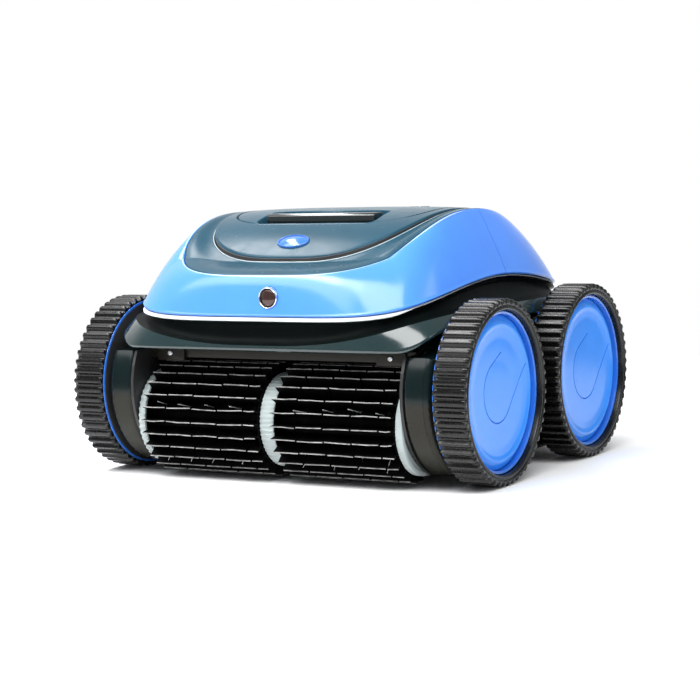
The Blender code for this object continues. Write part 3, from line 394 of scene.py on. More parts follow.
# looks of single pieces, where they differ from the look of their slot
LATCH_LOOK = plastic("latch_look", (0.04, 0.165, 0.56), 0.16, 0.04, 0.06, 0.015, 700, 0.6, 0.15)
HANDLE_LOOK = plastic("handle_look", (0.006, 0.01, 0.011), 0.22, 0.04, 0.1, 0.015, 800, 1.0)
BUTTON_FACE = plastic("button_face", (0.055, 0.024, 0.02), 0.14, 0.04, 0.25, 0.02, 500, 0.6,
                      metallic=0.5)
# Painted highlight: pale blue for the bead on the shell's top edge, where light catches the
# shoulder.
SHELL_EDGE_HIGHLIGHT = plastic("shell_edge_highlight_look", (0.4, 0.58, 0.9), 0.22, 0.04, 0.05, 0.012, 700, 0.5)
# Painted highlight: pale grey for the bead on the slate panel's inner edge.
PANEL_EDGE_HIGHLIGHT = plastic("panel_edge_highlight_look", (0.42, 0.5, 0.53), 0.22, 0.04, 0.05, 0.012, 700, 0.5)
# Painted highlight: pale grey for the ledge under the hem, a black gloss part.
HEM_LEDGE_HIGHLIGHT = plastic("hem_ledge_highlight_look", (0.66, 0.7, 0.71), 0.2, 0.04, 0.04, 0.01, 800, 0.5)
BAND_LOOK = plastic("band_look", (0.0025, 0.004, 0.004), 0.4, 0.05, 0.1, 0.02, 800, specular=0.04)
LIP_LOOK = plastic("lip_look", (0.005, 0.02, 0.022), 0.19, 0.04, 0.08, 0.01, 300, 1.0,
                   specular=0.45, coat_rough=0.12)
GUARD_LOOK = plastic("guard_look", (0.011, 0.0095, 0.006), 0.4, 0.06, 0.15, 0.06, 1300,
                     specular=0.25)
CAP_LOOK = plastic("cap_look", (0.022, 0.232, 0.82), 0.13, 0.03, 0.04, 0.02, 60, specular=0.45)
# Painted shade: the rim's blue is a darker copy of the hubcap's, for the ring sunk inside the tyre.
RIM_SHADED_BLUE = plastic("rim_shaded_blue", (0.022, 0.15, 0.62), 0.22, 0.05, 0.06, 0.015, 700, 0.4)
DISC_LOOK = plastic("disc_look", (0.36, 0.41, 0.41), 0.4, 0.08, 0.1, 0.06, 900)


def pod_look():
    """Dark glossy plastic with a painted reflection: teal above stands in for the studio above,
    olive brown low down for the floor.
    """
    made = plastic("pod_look", (0.0025, 0.0075, 0.008), 0.2, 0.04, 0.1, 0.015, 800, specular=0.25)
    tree = made.node_tree
    shader = tree.nodes["Principled BSDF"]
    coords = next(n for n in tree.nodes if n.type == "TEX_COORD")
    split = tree.nodes.new("ShaderNodeSeparateXYZ")
    put(split, 0, coords.outputs["Object"])
    # Painted reflection: below 8 cm the colour turns olive brown like the floor, above 8.8 cm it
    # stays teal like the studio.
    height = ranged(tree, split.outputs["Z"], 0.08, 0.088)
    upper = shader.inputs["Base Color"].links[0].from_socket
    cloud = noise(tree, coords.outputs["Object"], 30.0, 4.0)
    lower = ramp(tree, cloud, ((0.3, (0.0085, 0.008, 0.004)), (0.7, (0.012, 0.011, 0.006))))
    put(shader, "Base Color", blend_colour(tree, height, lower, upper))
    return made


def fin_look():
    """Black rubber blades whose tips are painted pale as a highlight, broken up in patches."""
    made, tree, shader, where = nodes_of("fin_look")
    _, y, z = middle_of("brush_sleeve_right")
    offset = maths(tree, "ShaderNodeVectorMath", "MULTIPLY_ADD", where, (0, 1, 1), (0, -y, -z))
    reach = maths(tree, "ShaderNodeVectorMath", "LENGTH", offset.outputs[0])
    # Painted highlight: the last few tenths of a millimetre of each blade turn pale grey, where
    # light catches the tips.
    pale_share = ranged(tree, reach.outputs["Value"], BLADE_TIP - 0.0009, BLADE_TIP - 0.0003)
    patches = ramp(tree, noise(tree, where, 130.0, 4.0), ((0.3, 0.35), (0.65, 1.0)))
    tip_highlight = maths(tree, "ShaderNodeMath", "MULTIPLY", pale_share, patches)
    put(shader, "Base Color",
        blend_colour(tree, tip_highlight.outputs[0], (0.0018, 0.0018, 0.0022), (0.42, 0.42, 0.41)))
    grain = noise(tree, where, 700.0, 4.0)
    put(shader, "Roughness", ramp(tree, grain, ((0.3, 0.48), (0.7, 0.62))))
    put(shader, "Specular IOR Level", 0.04)
    bumped(tree, shader, grain, 0.08, 0.0005)
    return made


POD_LOOK = pod_look()
FIN_LOOK = fin_look()


def stand_in(node, shape, body="chassis", look=None):
    """The visible shape of one CAD node; it keeps that node's material slot."""
    piece(node + "_v", shape, body, SLOT_OF[node], look, node)


# ---- camera, floor, light
CAMERA_AZIMUTH, CAMERA_ELEVATION, CAMERA_ROLL = (math.radians(a) for a in (30.4, 5.39, -1.72))
CAMERA_DISTANCE = 2.10848
CAMERA_LENS = 105.583  # millimetres, on a 36 mm wide sensor
CAMERA_TARGET = Vector((-0.00748, 0.0, 0.11334))


def make_camera():
    a, e, r = CAMERA_AZIMUTH, CAMERA_ELEVATION, CAMERA_ROLL
    back = Vector((math.sin(a) * math.cos(e), -math.cos(a) * math.cos(e), math.sin(e)))
    right = Vector((math.cos(a), math.sin(a), 0))
    up = back.cross(right)
    right, up = (right * math.cos(r) + up * math.sin(r), up * math.cos(r) - right * math.sin(r))
    data = bpy.data.cameras.new("camera")
    data.sensor_width = 36.0
    data.lens = CAMERA_LENS
    data.clip_start, data.clip_end = 0.05, 60.0
    camera = linked("camera", data)
    turn = Matrix((right, up, back)).transposed().to_4x4()
    camera.matrix_world = Matrix.Translation(CAMERA_TARGET + back * CAMERA_DISTANCE) @ turn
    bpy.context.scene.camera = camera


FLOOR_RADIUS = 1.05
FLOOR_Z = -0.0002  # a hair under the tyres


def make_stage():
    """A round pale floor; beyond it the studio itself is white."""
    turn = circle(96)
    rings = [stack(r * np.cos(turn), r * np.sin(turn), FLOOR_Z)
             for r in (0.02, 0.4, 0.8, FLOOR_RADIUS)]
    verts, faces = loft(rings, "open")
    faces.append(tuple(range(len(turn))))
    mesh = mesh_of("stage", verts, faces, 80)
    made, tree, shader, where = nodes_of("stage_look")
    tone = ramp(tree, noise(tree, where, 1.5), ((0.3, 0.93), (0.7, 0.96)))
    put(shader, "Base Color", tone)
    put(shader, "Roughness", 0.8)
    put(shader, "Specular IOR Level", 0.1)
    mesh.materials.append(made)
    linked("stage", mesh)


def softbox(name, place_at, aim, size, power):
    data = bpy.data.lights.new(name, "AREA")
    data.shape = "RECTANGLE"
    data.size, data.size_y = size
    data.energy = power
    lamp = linked(name, data)
    lamp.location = place_at
    lamp.rotation_mode = "QUATERNION"
    lamp.rotation_quaternion = (Vector(aim) - Vector(place_at)).to_track_quat("-Z", "Y")


WORLD_BRIGHT_SIDE = (-0.8, 0.58, -0.15)


def make_world():
    """White studio: bright behind the object, dimmer in front of it and low down."""
    world = bpy.data.worlds.new("studio")
    bpy.context.scene.world = world
    world.use_nodes = True
    tree = world.node_tree
    coords = tree.nodes.new("ShaderNodeTexCoord")
    across = maths(tree, "ShaderNodeVectorMath", "DOT_PRODUCT", coords.outputs["Generated"],
                   WORLD_BRIGHT_SIDE)
    tone = ramp(tree, across.outputs["Value"],
                ((0.0, (0.34, 0.36, 0.37)), (0.35, (0.42, 0.45, 0.47)), (0.75, (1.0, 1.0, 1.0))))
    background = tree.nodes["Background"]
    put(background, "Color", tone)
    put(background, "Strength", 1.0)


bpy.context.scene.view_settings.view_transform = "Standard"
make_camera()
make_stage()
make_world()
softbox("key", (-1.2, -1.55, 2.35), (0, 0, 0.12), (2.4, 1.9), 66)
softbox("strip", (-0.75, -0.35, 1.75), (0, -0.05, 0.15), (2.2, 0.36), 30)
softbox("corner", (0.6, -1.05, 1.65), (0.1, 0, 0.12), (1.5, 1.0), 34)
softbox("right", (2.4, 0.6, 1.4), (0.2, 0, 0.1), (1.6, 1.2), 13)


# ---- blue shells
def shell_level(fall, inset=0.0, drop=0.0):
    px, py = outline(TURNS, PANEL)
    hx, hy = outline(TURNS, HEM)
    bulge = fall ** (0.85 - 0.35 * np.sin(TURNS) ** 2)
    x = (1 - bulge) * px + bulge * hx
    y = (1 - bulge) * py + bulge * hy
    z = (1 - fall) * top_height(px, py) + fall * hem_height(y)
    shrink = 1 - inset / np.hypot(x, y)
    return stack(x * shrink, y * shrink, z - drop)


def make_shells():
    falls = np.linspace(0, 1, 44) ** 1.5
    rings = [shell_level(0.0, 0.0, d) for d in (0.003, 0.0012, 0.0004)]
    rings += [shell_level(0.003), *[shell_level(f) for f in falls[1:-1]]]
    rings += [shell_level(1.0, i, d) for i, d in
              ((0.0, -0.001), (0.0002, 0.0), (0.0008, 0.0007), (0.0016, 0.0009), (0.0026, 0.0006),
               (0.0032, 0.0))]
    rings += [shell_level(f, 0.003, 0.001 + 0.0018 * (1 - f))
              for f in (0.93, 0.85, 0.75, 0.64, 0.52, 0.4, 0.29, 0.2, 0.12, 0.06)]
    whole = mesh_of("shell_v", *loft(rings, "loop"))
    for name, side in (("shell_front", -1), ("shell_rear", 1)):
        bm = bmesh.new()
        bm.from_mesh(whole)
        cut = bmesh.ops.bisect_plane(bm, geom=bm.verts[:] + bm.edges[:] + bm.faces[:],
                                     plane_co=(0, SEAM_Y + SEAM_HALF * side, 0),
                                     plane_no=(0, side, 0), clear_inner=True)
        rim = [e for e in cut["geom_cut"] if isinstance(e, bmesh.types.BMEdge)]
        bmesh.ops.holes_fill(bm, edges=rim)
        mesh = bpy.data.meshes.new(name + "_v")
        bm.to_mesh(mesh)
        bm.free()
        shaded(mesh)
        if side < 0:
            low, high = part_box("button_bezel")
            x, _, z = middle_of("button_bezel")
            radius = (high.x - low.x) / 2 + 0.0003
            bore = lathe([(-0.22, radius), (-0.16, radius)], (x, z), "Y", 64, "cap")
            mesh = carve(mesh, mesh_of("bore", *bore))
        stand_in(name, mesh)


# ---- dark panel and lid
LID_CENTRE = np.array((0.0, -0.045))
POCKET_TOP = ((-0.068, -0.079), (0.068, -0.036))
POCKET_FLOOR = ((-0.057, -0.0775), (0.057, -0.0375))
POCKET_FLOOR_Z = 0.2255
LEDGE_STEP = 0.0046  # how far the panel steps down to the lid at the front
PANEL_DEPTH = 0.0038
LID_GAP = 0.0012
HINGE = middle_of("lid_hinge_pin")[1:]
KNUCKLE_RADIUS = 0.0032
PANEL_KNUCKLES_X = (-0.0585, 0.0585)
LID_KNUCKLES_X = (-0.0455, 0.0455)


def lid_edge(turn, grow=0.0):
    """Plan of the lid's edge: a squared oval cut straight at the hinge, with its corners eased."""
    r = superellipse(turn, LID[0] + grow, LID[1] + grow, LID[2])
    with np.errstate(divide="ignore"):
        rear = (LID_REAR + grow) / np.maximum(np.sin(turn), 1e-9)
    r = np.where(np.sin(turn) > 0, (r ** -14 + rear ** -14.0) ** (-1 / 14), r)
    return r * np.cos(turn), r * np.sin(turn)


def ledge_drop(turn, share):
    frontness = 0.22 + 0.78 * smooth((-np.sin(turn) + 0.1) / 0.95)
    rear = smooth((np.sin(turn) + 0.25) / 0.9)
    return LEDGE_STEP * frontness * (1 - rear) * smooth((share - 0.15) / 0.8)


def panel_level(share, drop=0.0, inset=0.0):
    ox, oy = outline(TURNS, PANEL, 0.0005 + inset)
    ix, iy = lid_edge(TURNS, LID_GAP)
    x, y = (1 - share) * ox + share * ix, (1 - share) * oy + share * iy
    return stack(x, y, top_height(x, y) - ledge_drop(TURNS, share) - drop)


def make_panel():
    rings = [panel_level(0, 0.003), panel_level(0, 0.001), panel_level(0, 0.0003, 0.0003)]
    rings += [panel_level(s) for s in np.linspace(0.02, 0.975, 30)]
    rings += [panel_level(0.985, 0.0002), panel_level(0.994, 0.0006), panel_level(1.0, 0.0014),
              panel_level(1.0, PANEL_DEPTH)]
    rings += [panel_level(s, PANEL_DEPTH) for s in (0.6, 0.3)]
    mesh = mesh_of("top_panel_v", *loft(rings, "loop"))
    low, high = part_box("outlet_duct")
    middle = middle_of("outlet_duct")[:2]
    radius = (high.x - low.x) / 2 + 0.0004
    bore = lathe([(0.15, radius), (0.3, radius)], middle, "Z", 96, "cap")
    mesh = carve(mesh, mesh_of("bore", *bore))
    hinge_y, hinge_z = HINGE
    for x in LID_KNUCKLES_X:
        slot = mesh_of("slot", *bar(arc_box((hinge_y - 0.0075, hinge_z - 0.012),
                                            (hinge_y + 0.0063, hinge_z + 0.012), 0.001),
                                    x - 0.007, x + 0.007, edge=0.0004))
        mesh = carve(mesh, slot)
    stand_in("top_panel", mesh)
    for number, x in enumerate(PANEL_KNUCKLES_X):
        piece(f"panel_knuckle_{number}", knuckle(x - 0.005, x + 0.005), "chassis", "slate_gloss")


def knuckle(low, high):
    """Barrel round the hinge pin, from low to high."""
    ring = [(HINGE[0] + KNUCKLE_RADIUS * math.cos(t), HINGE[1] + KNUCKLE_RADIUS * math.sin(t))
            for t in circle(40)]
    return bar(ring, low, high, edge=0.0006)


def from_centre(points, angles):
    """Radius of a closed curve about the lid's centre, at the given angles."""
    rel = np.asarray(points) - LID_CENTRE
    polar = np.arctan2(rel[:, 1], rel[:, 0])
    order = np.argsort(polar)
    return np.interp(angles, polar[order], np.hypot(rel[:, 0], rel[:, 1])[order], period=TAU)


def lid_curves():
    """The lid's edge, its inner contour and the pocket, all as radii about one centre."""
    turn = circle(4000)
    edge = np.stack(lid_edge(turn), -1)
    r = superellipse(turn, 0.112, 0.0812, 3.6)
    inner_rear = 0.034 / np.maximum(np.sin(turn), 1e-9)
    r = np.where(np.sin(turn) > 0, (r ** -10 + inner_rear ** -10.0) ** (-0.1), r)
    contour = np.stack([r * np.cos(turn), r * np.sin(turn)], -1)
    pocket = dense(arc_box(*POCKET_TOP, 0.01, 10))
    floor = dense(arc_box(*POCKET_FLOOR, 0.008, 10))
    marks = []
    for curve, count in ((edge, 230), (pocket, 170)):
        closed = np.vstack([curve, curve[:1]])
        run = np.concatenate([[0], np.cumsum(np.linalg.norm(np.diff(closed, axis=0), axis=1))])
        even = np.linspace(0, run[-1], count, endpoint=False)
        xs, ys = np.interp(even, run, closed[:, 0]), np.interp(even, run, closed[:, 1])
        marks.append(np.arctan2(ys - LID_CENTRE[1], xs - LID_CENTRE[0]))
    angles = np.sort(np.concatenate(marks))
    keep = np.concatenate([[True], np.diff(angles) > 0.002])
    angles = angles[keep]
    return angles, [from_centre(c, angles) for c in (edge, contour, pocket, floor)]


def dense(points, spacing=0.0003):
    pts = np.array(points + [points[0]])
    out = []
    for a, b in zip(pts, pts[1:]):
        count = max(1, int(np.linalg.norm(b - a) / spacing))
        out += [a + (b - a) * k / count for k in range(count)]
    return np.array(out)


def make_lid():
    angles, (edge, contour, pocket, floor) = lid_curves()
    unit = np.stack([np.cos(angles), np.sin(angles)], -1)

    def ring(radius, drop=0.0, level=None):
        spot = LID_CENTRE + unit * radius[:, None]
        z = top_height(spot[:, 0], spot[:, 1]) - drop if level is None else level + 0 * radius
        return stack(spot[:, 0], spot[:, 1], z)

    def between(a, b, share):
        return a + (b - a) * share

    groove = 0.0026 * (0.15 + 0.85 * smooth((contour - pocket - 0.002) / 0.01))
    rings = [ring(floor * 0.55, level=POCKET_FLOOR_Z - 0.0004),
             ring(floor - 0.003, level=POCKET_FLOOR_Z), ring(floor, level=POCKET_FLOOR_Z + 0.0012)]
    for s in (0.15, 0.4, 0.65, 0.85):
        wall = between(floor, pocket - 0.0006, s)
        low = ring(wall, level=POCKET_FLOOR_Z + 0.0012)
        high = ring(wall, 0.0022)
        low[:, 2] = between(low[:, 2], high[:, 2], s)
        rings.append(low)
    rings += [ring(pocket - 0.0006, 0.0016), ring(pocket, 0.0006), ring(pocket + 0.0006, 0.0001)]
    start, stop = pocket + 0.0012, contour - 0.0016
    stop = np.maximum(stop, start + 0.0004)
    rings += [ring(between(start, stop, s)) for s in np.linspace(0, 1, 14)]
    rings += [ring(stop + offset, groove * depth) for offset, depth in
              ((0.0006, 0.25), (0.0012, 1.0), (0.002, 1.0), (0.0026, 0.35), (0.0031, 0.0))]
    start = stop + 0.004
    rings += [ring(between(start, edge - 0.0022, s)) for s in np.linspace(0, 1, 44)]
    rings += [ring(edge - 0.0012, 0.0001), ring(edge - 0.0005, 0.0004), ring(edge - 0.0001, 0.001),
              ring(edge, 0.0018), ring(edge, 0.0052), ring(edge - 0.0018, 0.0052)]
    rings += [ring(between(edge - 0.0022, pocket + 0.004, s), 0.0032)
              for s in np.linspace(0, 1, 14)]
    rings += [ring(between(pocket, floor, 0.5) + 0.0025, level=POCKET_FLOOR_Z + 0.012),
              ring(floor + 0.0025, level=POCKET_FLOOR_Z - 0.0015),
              ring(floor - 0.001, level=POCKET_FLOOR_Z - 0.0027)]
    mesh = mesh_of("lid_v", *loft(rings))
    mesh = carve(mesh, latch_shape("bore", [(1.02, -0.02), (1.02, 0.02)]))
    stand_in("lid", mesh, "lid")
    # Painted shade: a near-black band wraps the lid's side wall, deepest at the front, for the
    # shadowed step down to the panel.
    front = smooth((-unit[:, 1] - 0.25) / 0.55)
    depth = 0.0024 + 0.004 * front
    strip = [ring(edge + 0.0002, 0.0016), ring(edge + 0.0006, 0.0018), ring(edge + 0.0006, depth),
             ring(edge + 0.0001, depth), ring(edge - 0.0012, 0.0034), ring(edge - 0.0012, 0.002)]
    piece("lid_edge_shade_strip", loft(strip, "loop"), "lid", "seal_rubber", stands_for="lid")
    y, z = HINGE
    arm = rounded([(y - 0.0085, z - 0.0018), (y - 0.0005, z - 0.0028), (y, z + 0.0026),
                   (y - 0.0085, z + 0.0012)], 0.0006, 2)
    for number, x in enumerate(LID_KNUCKLES_X):
        shape = joined([knuckle(x - 0.006, x + 0.006), bar(arm, x - 0.006, x + 0.006, edge=0.0004)])
        piece(f"lid_knuckle_{number}", shape, "lid", "slate_gloss")


LATCH_Y = -0.115
LATCH_SLOPE = math.atan(0.598)
LATCH_HALF = (0.0175, 0.0105)  # half width and half height of the oval
LATCH_FACE = 0.86  # share of the oval inside the raised rim


def latch_shape(name, levels):
    """Stack of ovals square to the lid's front slope, from (scale, height) levels."""
    turn = circle(96)
    a, b = LATCH_HALF
    rings = [stack(a * s * np.cos(turn), b * s * np.sin(turn), z) for s, z in levels]
    mesh = mesh_of(name, *loft(rings))
    centre = Vector((0, LATCH_Y, float(top_height(0, LATCH_Y))))
    mesh.transform(Matrix.Translation(centre) @ Matrix.Rotation(LATCH_SLOPE, 4, "X"))
    return mesh


def make_latch():
    """Oval push cap: a raised rim round a domed face."""
    dome = [(0.96, -0.0058), (1.0, -0.005), (1.0, 0.0008), (0.985, 0.0015), (0.955, 0.0019),
            (0.92, 0.002), (0.885, 0.0016), (LATCH_FACE, 0.0008)]
    dome += [(s, 0.0008 + 0.0024 * (1 - (s / LATCH_FACE) ** 2) ** 0.8)
             for s in np.linspace(0.83, 0.05, 14)]
    stand_in("lid_latch", latch_shape("lid_latch_v", dome), "lid_latch", LATCH_LOOK)


def make_handle():
    low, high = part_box("handle_bar")
    edge = [(low.y, low.z), (high.y, low.z), (high.y, high.z), (low.y + 0.0026, high.z),
            (low.y, high.z - 0.0024)]
    profile = rounded(edge, [0.002, 0.0035, 0.003, 0.0007, 0.0007], 4)
    stand_in("handle_bar", bar(profile, low.x, high.x, edge=0.0006), "lid", HANDLE_LOOK)


def make_button():
    low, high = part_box("button_bezel")
    x, _, z = middle_of("button_bezel")
    outer = (high.x - low.x) / 2
    face = low.y + 0.003
    profile = rounded([(face + 0.0004, 0.0083), (face - 0.0012, 0.0086),
                       (face - 0.0029, outer - 0.0008), (face - 0.0018, outer), (high.y, outer),
                       (high.y, 0.0083)], 0.0004, 4)
    stand_in("button_bezel", lathe(profile, (x, z), "Y", 72))
    cap = [(face - 0.0024 + 0.001 * (r / 0.007) ** 2, r) for r in np.linspace(0.0003, 0.007, 9)]
    cap += [(face - 0.0008, 0.0077), (face + 0.0002, 0.008), (face + 0.008, 0.008)]
    stand_in("power_button", lathe(cap, (x, z), "Y", 72, "cap"), "power_button", BUTTON_FACE)


def bead(name, curve, radius, look, slot):
    """Fine raised edge that is thickest at the front and dies away towards the sides; its pale look
    is a painted highlight.
    """
    x, y, z = curve
    reach = np.abs(np.arctan2(x, -y))
    keep = reach < 1.45
    order = np.argsort(np.arctan2(x, -y)[keep])
    path = np.stack([x[keep][order], y[keep][order], z[keep][order]], -1)
    ends = np.linspace(-1, 1, len(path))
    thick = radius * (0.12 + 0.88 * (1 - np.abs(ends) ** 4))
    piece(name, wire(path, thick, 10, (0, 0, 1)), "chassis", slot, look)


def make_beads():
    x, y = outline(TURNS, PANEL, -0.0012)
    # Painted highlight: a pale blue bead along the shell's edge.
    bead("shell_edge_highlight_bead", (x, y, top_height(x, y) - 0.0009), 0.0013, SHELL_EDGE_HIGHLIGHT, "blue_gloss")
    # Painted highlight: a pale line along the panel's edge just below the lid's front.
    level = panel_level(0.985)
    bead("panel_edge_highlight_bead", (level[:, 0], level[:, 1], level[:, 2] - 0.0001), 0.0006, PANEL_EDGE_HIGHLIGHT,
         "slate_gloss")


GRILLE_PITCH = 0.0095


def make_outlet():
    low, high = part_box("outlet_duct")
    middle_x, middle_y, _ = middle_of("outlet_duct")
    radius = (high.x - low.x) / 2
    turn = circle(120)

    def ring(r, above=None, level=None):
        x, y = middle_x + r * np.cos(turn), middle_y + r * np.sin(turn)
        return stack(x, y, top_height(x, y) + above if level is None else level)

    parts = [loft([ring(radius - 0.003, level=low.z),
                   *[ring(radius - inset, above) for inset, above in
                     ((0.003, 0.0012), (0.0025, 0.0018), (0.0015, 0.002), (0.0006, 0.0018),
                      (0, 0.001))],
                   ring(radius, level=low.z)], "loop")]
    reach = radius - 0.0022  # the grille's bars end inside the tube's wall
    for k in range(-2, 3):
        x = GRILLE_PITCH * k
        half = math.sqrt(reach ** 2 - x * x)
        profile = arc_box((x - 0.0012, 0.227), (x + 0.0012, 0.2325), 0.0008, 3)
        parts.append(bar(profile, middle_y - half, middle_y + half, "Y", 0.0002, 2))
    cross = arc_box((middle_y - 0.0014, 0.2262), (middle_y + 0.0014, 0.231), 0.0006, 2)
    parts.append(bar(cross, -reach, reach, "X", 0.0002, 2))
    stand_in("outlet_duct", joined(parts))


# ---- bumper
SKIRT_CORNER_X = 0.148


def smile(x):
    """Height of the dark band's lower edge: lowest in the middle, up to the hem at the ends."""
    return 0.1355 + 0.0235 * np.minimum(np.abs(x) / 0.157, 1.08) ** 2.7


def skirt_foot(x, half_width, front_z, side_z):
    """Height of the skirt's foot: level at the front, rising round the corners to the sides."""
    share = np.maximum(0, (np.abs(x) - SKIRT_CORNER_X) / (half_width - SKIRT_CORNER_X)) ** 2
    return (1 - share) * front_z + share * side_z


def make_skirt():
    """Ledge under the hem, painted pale grey as a highlight, the dark scooped band, then the lip
    that rounds under.
    """
    def hem_row(a, b, drop):
        x, y = outline(TURNS, (a, b, 5.0))
        return stack(x, y, hem_height(y) - drop)

    def foot_row(a, b, n, front_z, side_z):
        x, y = outline(TURNS, (a, b, n))
        return stack(x, y, skirt_foot(x, a, front_z, side_z))

    top = hem_row(0.1676, 0.1872, 0.005)
    frontness = 0.12 + 0.88 * smooth((np.abs(top[:, 1]) - 0.15) / 0.022)
    ledge = []
    for a, b, drop in ((0.164, 0.184, 0.0022), (0.1672, 0.1872, 0.002), (0.1684, 0.189, 0.0021),
                       (0.1692, 0.1902, 0.0028), (0.1693, 0.1904, 0.004), (0.1684, 0.1892, 0.005)):
        row = hem_row(a, b, 0.002)
        row[:, 2] -= (drop - 0.002) * frontness
        slim = hem_row(0.166, 0.186, 0.0)
        row[:, :2] = frontness[:, None] * row[:, :2] + (1 - frontness[:, None]) * slim[:, :2]
        ledge.append(row)
    foot = [foot_row(a, b, 8.0, front_z, side_z) for a, b, front_z, side_z in
            ((0.18, 0.1874, 0.1345, 0.154), (0.1806, 0.1878, 0.1326, 0.1526),
             (0.1806, 0.1872, 0.131, 0.1512), (0.1796, 0.1858, 0.1302, 0.1504))]
    brim = foot[0]
    span = top[:, 2] - brim[:, 2]
    ridge_z = np.clip(smile(top[:, 0]), brim[:, 2] + 0.0012, top[:, 2] - 0.001)
    ridge_at = (top[:, 2] - ridge_z) / span
    scoop = 0.0075 * smooth((top[:, 2] - ridge_z - 0.001) / 0.012)

    def skin(fall, dent=0.0):
        """Point between top and brim; fall is the share of the height, dent pushes it inwards."""
        share = (fall ** 1.25)[:, None]
        row = (1 - share) * top + share * brim
        row[:, 2] = top[:, 2] - fall * span
        belly = 1 + 0.012 * np.sin(np.pi * fall) * smooth((ridge_z - brim[:, 2]) / 0.02)
        reach = np.hypot(row[:, 0], row[:, 1])
        row[:, :2] *= (belly - dent / reach)[:, None]
        return row

    band = [top, *[skin(ridge_at * s, scoop * (1 - s ** 6) * min(1.0, 6 * s))
                   for s in np.linspace(0, 1, 18)[1:]]]
    lip = [skin(ridge_at + (1 - ridge_at) * s) for s in np.linspace(0, 1, 20)]
    under = [foot_row(0.1776, 0.1838, 8.0, 0.1305, 0.15),
             foot_row(0.16, 0.17, 5.6, 0.134, 0.156)]
    back = np.array((0.93, 0.93, 1.0))
    for name, look, rings in (
            # the ledge's pale look is a painted highlight on black gloss plastic
            ("ledge", HEM_LEDGE_HIGHLIGHT, [hem_row(0.1626, 0.1806, 0.003), *ledge, ledge[-1] * back]),
            ("band", BAND_LOOK, [top * back, *band, band[-1] * back]),
            ("lip", LIP_LOOK, [lip[0] * back, *lip, *foot[1:], *under])):
        piece("bumper_" + name, loft(rings, "loop"), "chassis", "black_gloss", look, "bumper_skirt")


# ---- drive pods
POD_BROW = 0.1262  # height at which a pod's round ends meet its sloping top
POD_INNER_EDGE, POD_OUTER_EDGE = 0.004, 0.0075
POD_WALL = 0.014


def pod_outline(inset, hub_y, hub_z, radius, foot, top):
    """Side view of a pod: round about each wheel hub, flat below, low under the skirt."""
    r = radius - inset
    bottom, brow, crown = foot + inset, POD_BROW - inset, top - inset
    low = math.asin((bottom - hub_z) / r)
    high = math.asin((brow - hub_z) / r)
    rear = [(hub_y + r * math.cos(t), hub_z + r * math.sin(t)) for t in np.linspace(low, high, 40)]
    rear += [(0.15, brow + 0.0006), (0.105, crown)]
    return rear + [(-y, z) for y, z in reversed(rear)]


def make_pods():
    """Glossy gear housings whose long edges are well rounded on both sides."""
    _, hub_y, hub_z = middle_of("tyre_rear_right")
    for name, side in SIDES:
        low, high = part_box("side_pod_" + name)
        radius = high.y - hub_y
        inner, outer = (low.x, high.x) if side > 0 else (high.x, low.x)
        rings = []

        def level(x, inset):
            ring = np.array(pod_outline(inset, hub_y, hub_z, radius, low.z, high.z))
            rings.append(stack(x + 0 * ring[:, 0], ring[:, 0], ring[:, 1]))

        for bend in np.linspace(0, math.pi / 2, 9):
            level(inner + side * POD_INNER_EDGE * (1 - math.cos(bend)),
                  POD_INNER_EDGE * (1 - math.sin(bend)))
        for share in (0.25, 0.5, 0.75):
            level(inner + (outer - inner) * share, 0.0)
        for bend in np.linspace(math.pi / 2, 0, 11):
            level(outer - side * POD_OUTER_EDGE * (1 - math.cos(bend)),
                  POD_OUTER_EDGE * (1 - math.sin(bend)))
        level(outer - side * 0.0035, POD_WALL)
        level(inner, POD_WALL)
        stand_in("side_pod_" + name, loft(rings, "loop"), look=POD_LOOK)


def make_guard():
    low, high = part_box("brush_guard")
    front = low.y + 0.0035
    strip = rounded([(front, 0.118), (front + 0.004, 0.118), (front + 0.004, 0.1262),
                     (high.y, 0.1262), (high.y, 0.1292), (front, 0.1292)], 0.0008, 3)
    parts = [bar(strip, low.x, high.x, edge=0.0008)]
    for name, _ in SIDES:
        middle = middle_of("guard_screw_" + name)[0]
        block = arc_box((middle - 0.016, 0.115), (middle + 0.016, 0.129), 0.0016, 4)
        parts.append(bar(block, low.y, front + 0.004, "Y", 0.001))
    stand_in("brush_guard", joined(parts), look=GUARD_LOOK)
    for name, _ in SIDES:
        s_low, s_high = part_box("guard_screw_" + name)
        x, _, z = middle_of("guard_screw_" + name)
        head = s_low.y
        r = (s_high.x - s_low.x) / 2
        profile = [(head + 0.0006, 0.0002), (head + 0.0006, 0.0008), (head + 0.0001, 0.0011),
                   (head, 0.0015), (head + 0.0002, 0.0021), (head + 0.0007, r - 0.0003),
                   (head + 0.0016, r), (head + 0.0018, 0.0015), (s_high.y, 0.0015)]
        stand_in("guard_screw_" + name, lathe(profile, (x, z), "Y", 40, "cap"))


# ---- wheels
RIBS = 56
BORE_RADIUS = 0.0769  # the tyre's bore, a hair wider than the rim's barrel
BARREL_RADIUS = 0.0765
CAP_RADIUS = 0.0731


def rib_radius(turn, outer, depth):
    """Tread height round the tyre: each rib has a flat crest, a slow back and a steep drop."""
    phase = ((turn + 0.25 * TAU) / TAU * RIBS) % 1.0
    places = [0.0, 0.05, 0.26, 0.36, 0.44, 0.6, 0.8, 0.88, 0.95, 1.0]
    levels = [0.99, 1.0, 0.97, 0.8, 0.25, 0.0, 0.0, 0.2, 0.8, 0.99]
    return outer - depth * (1 - np.interp(phase, places, levels))


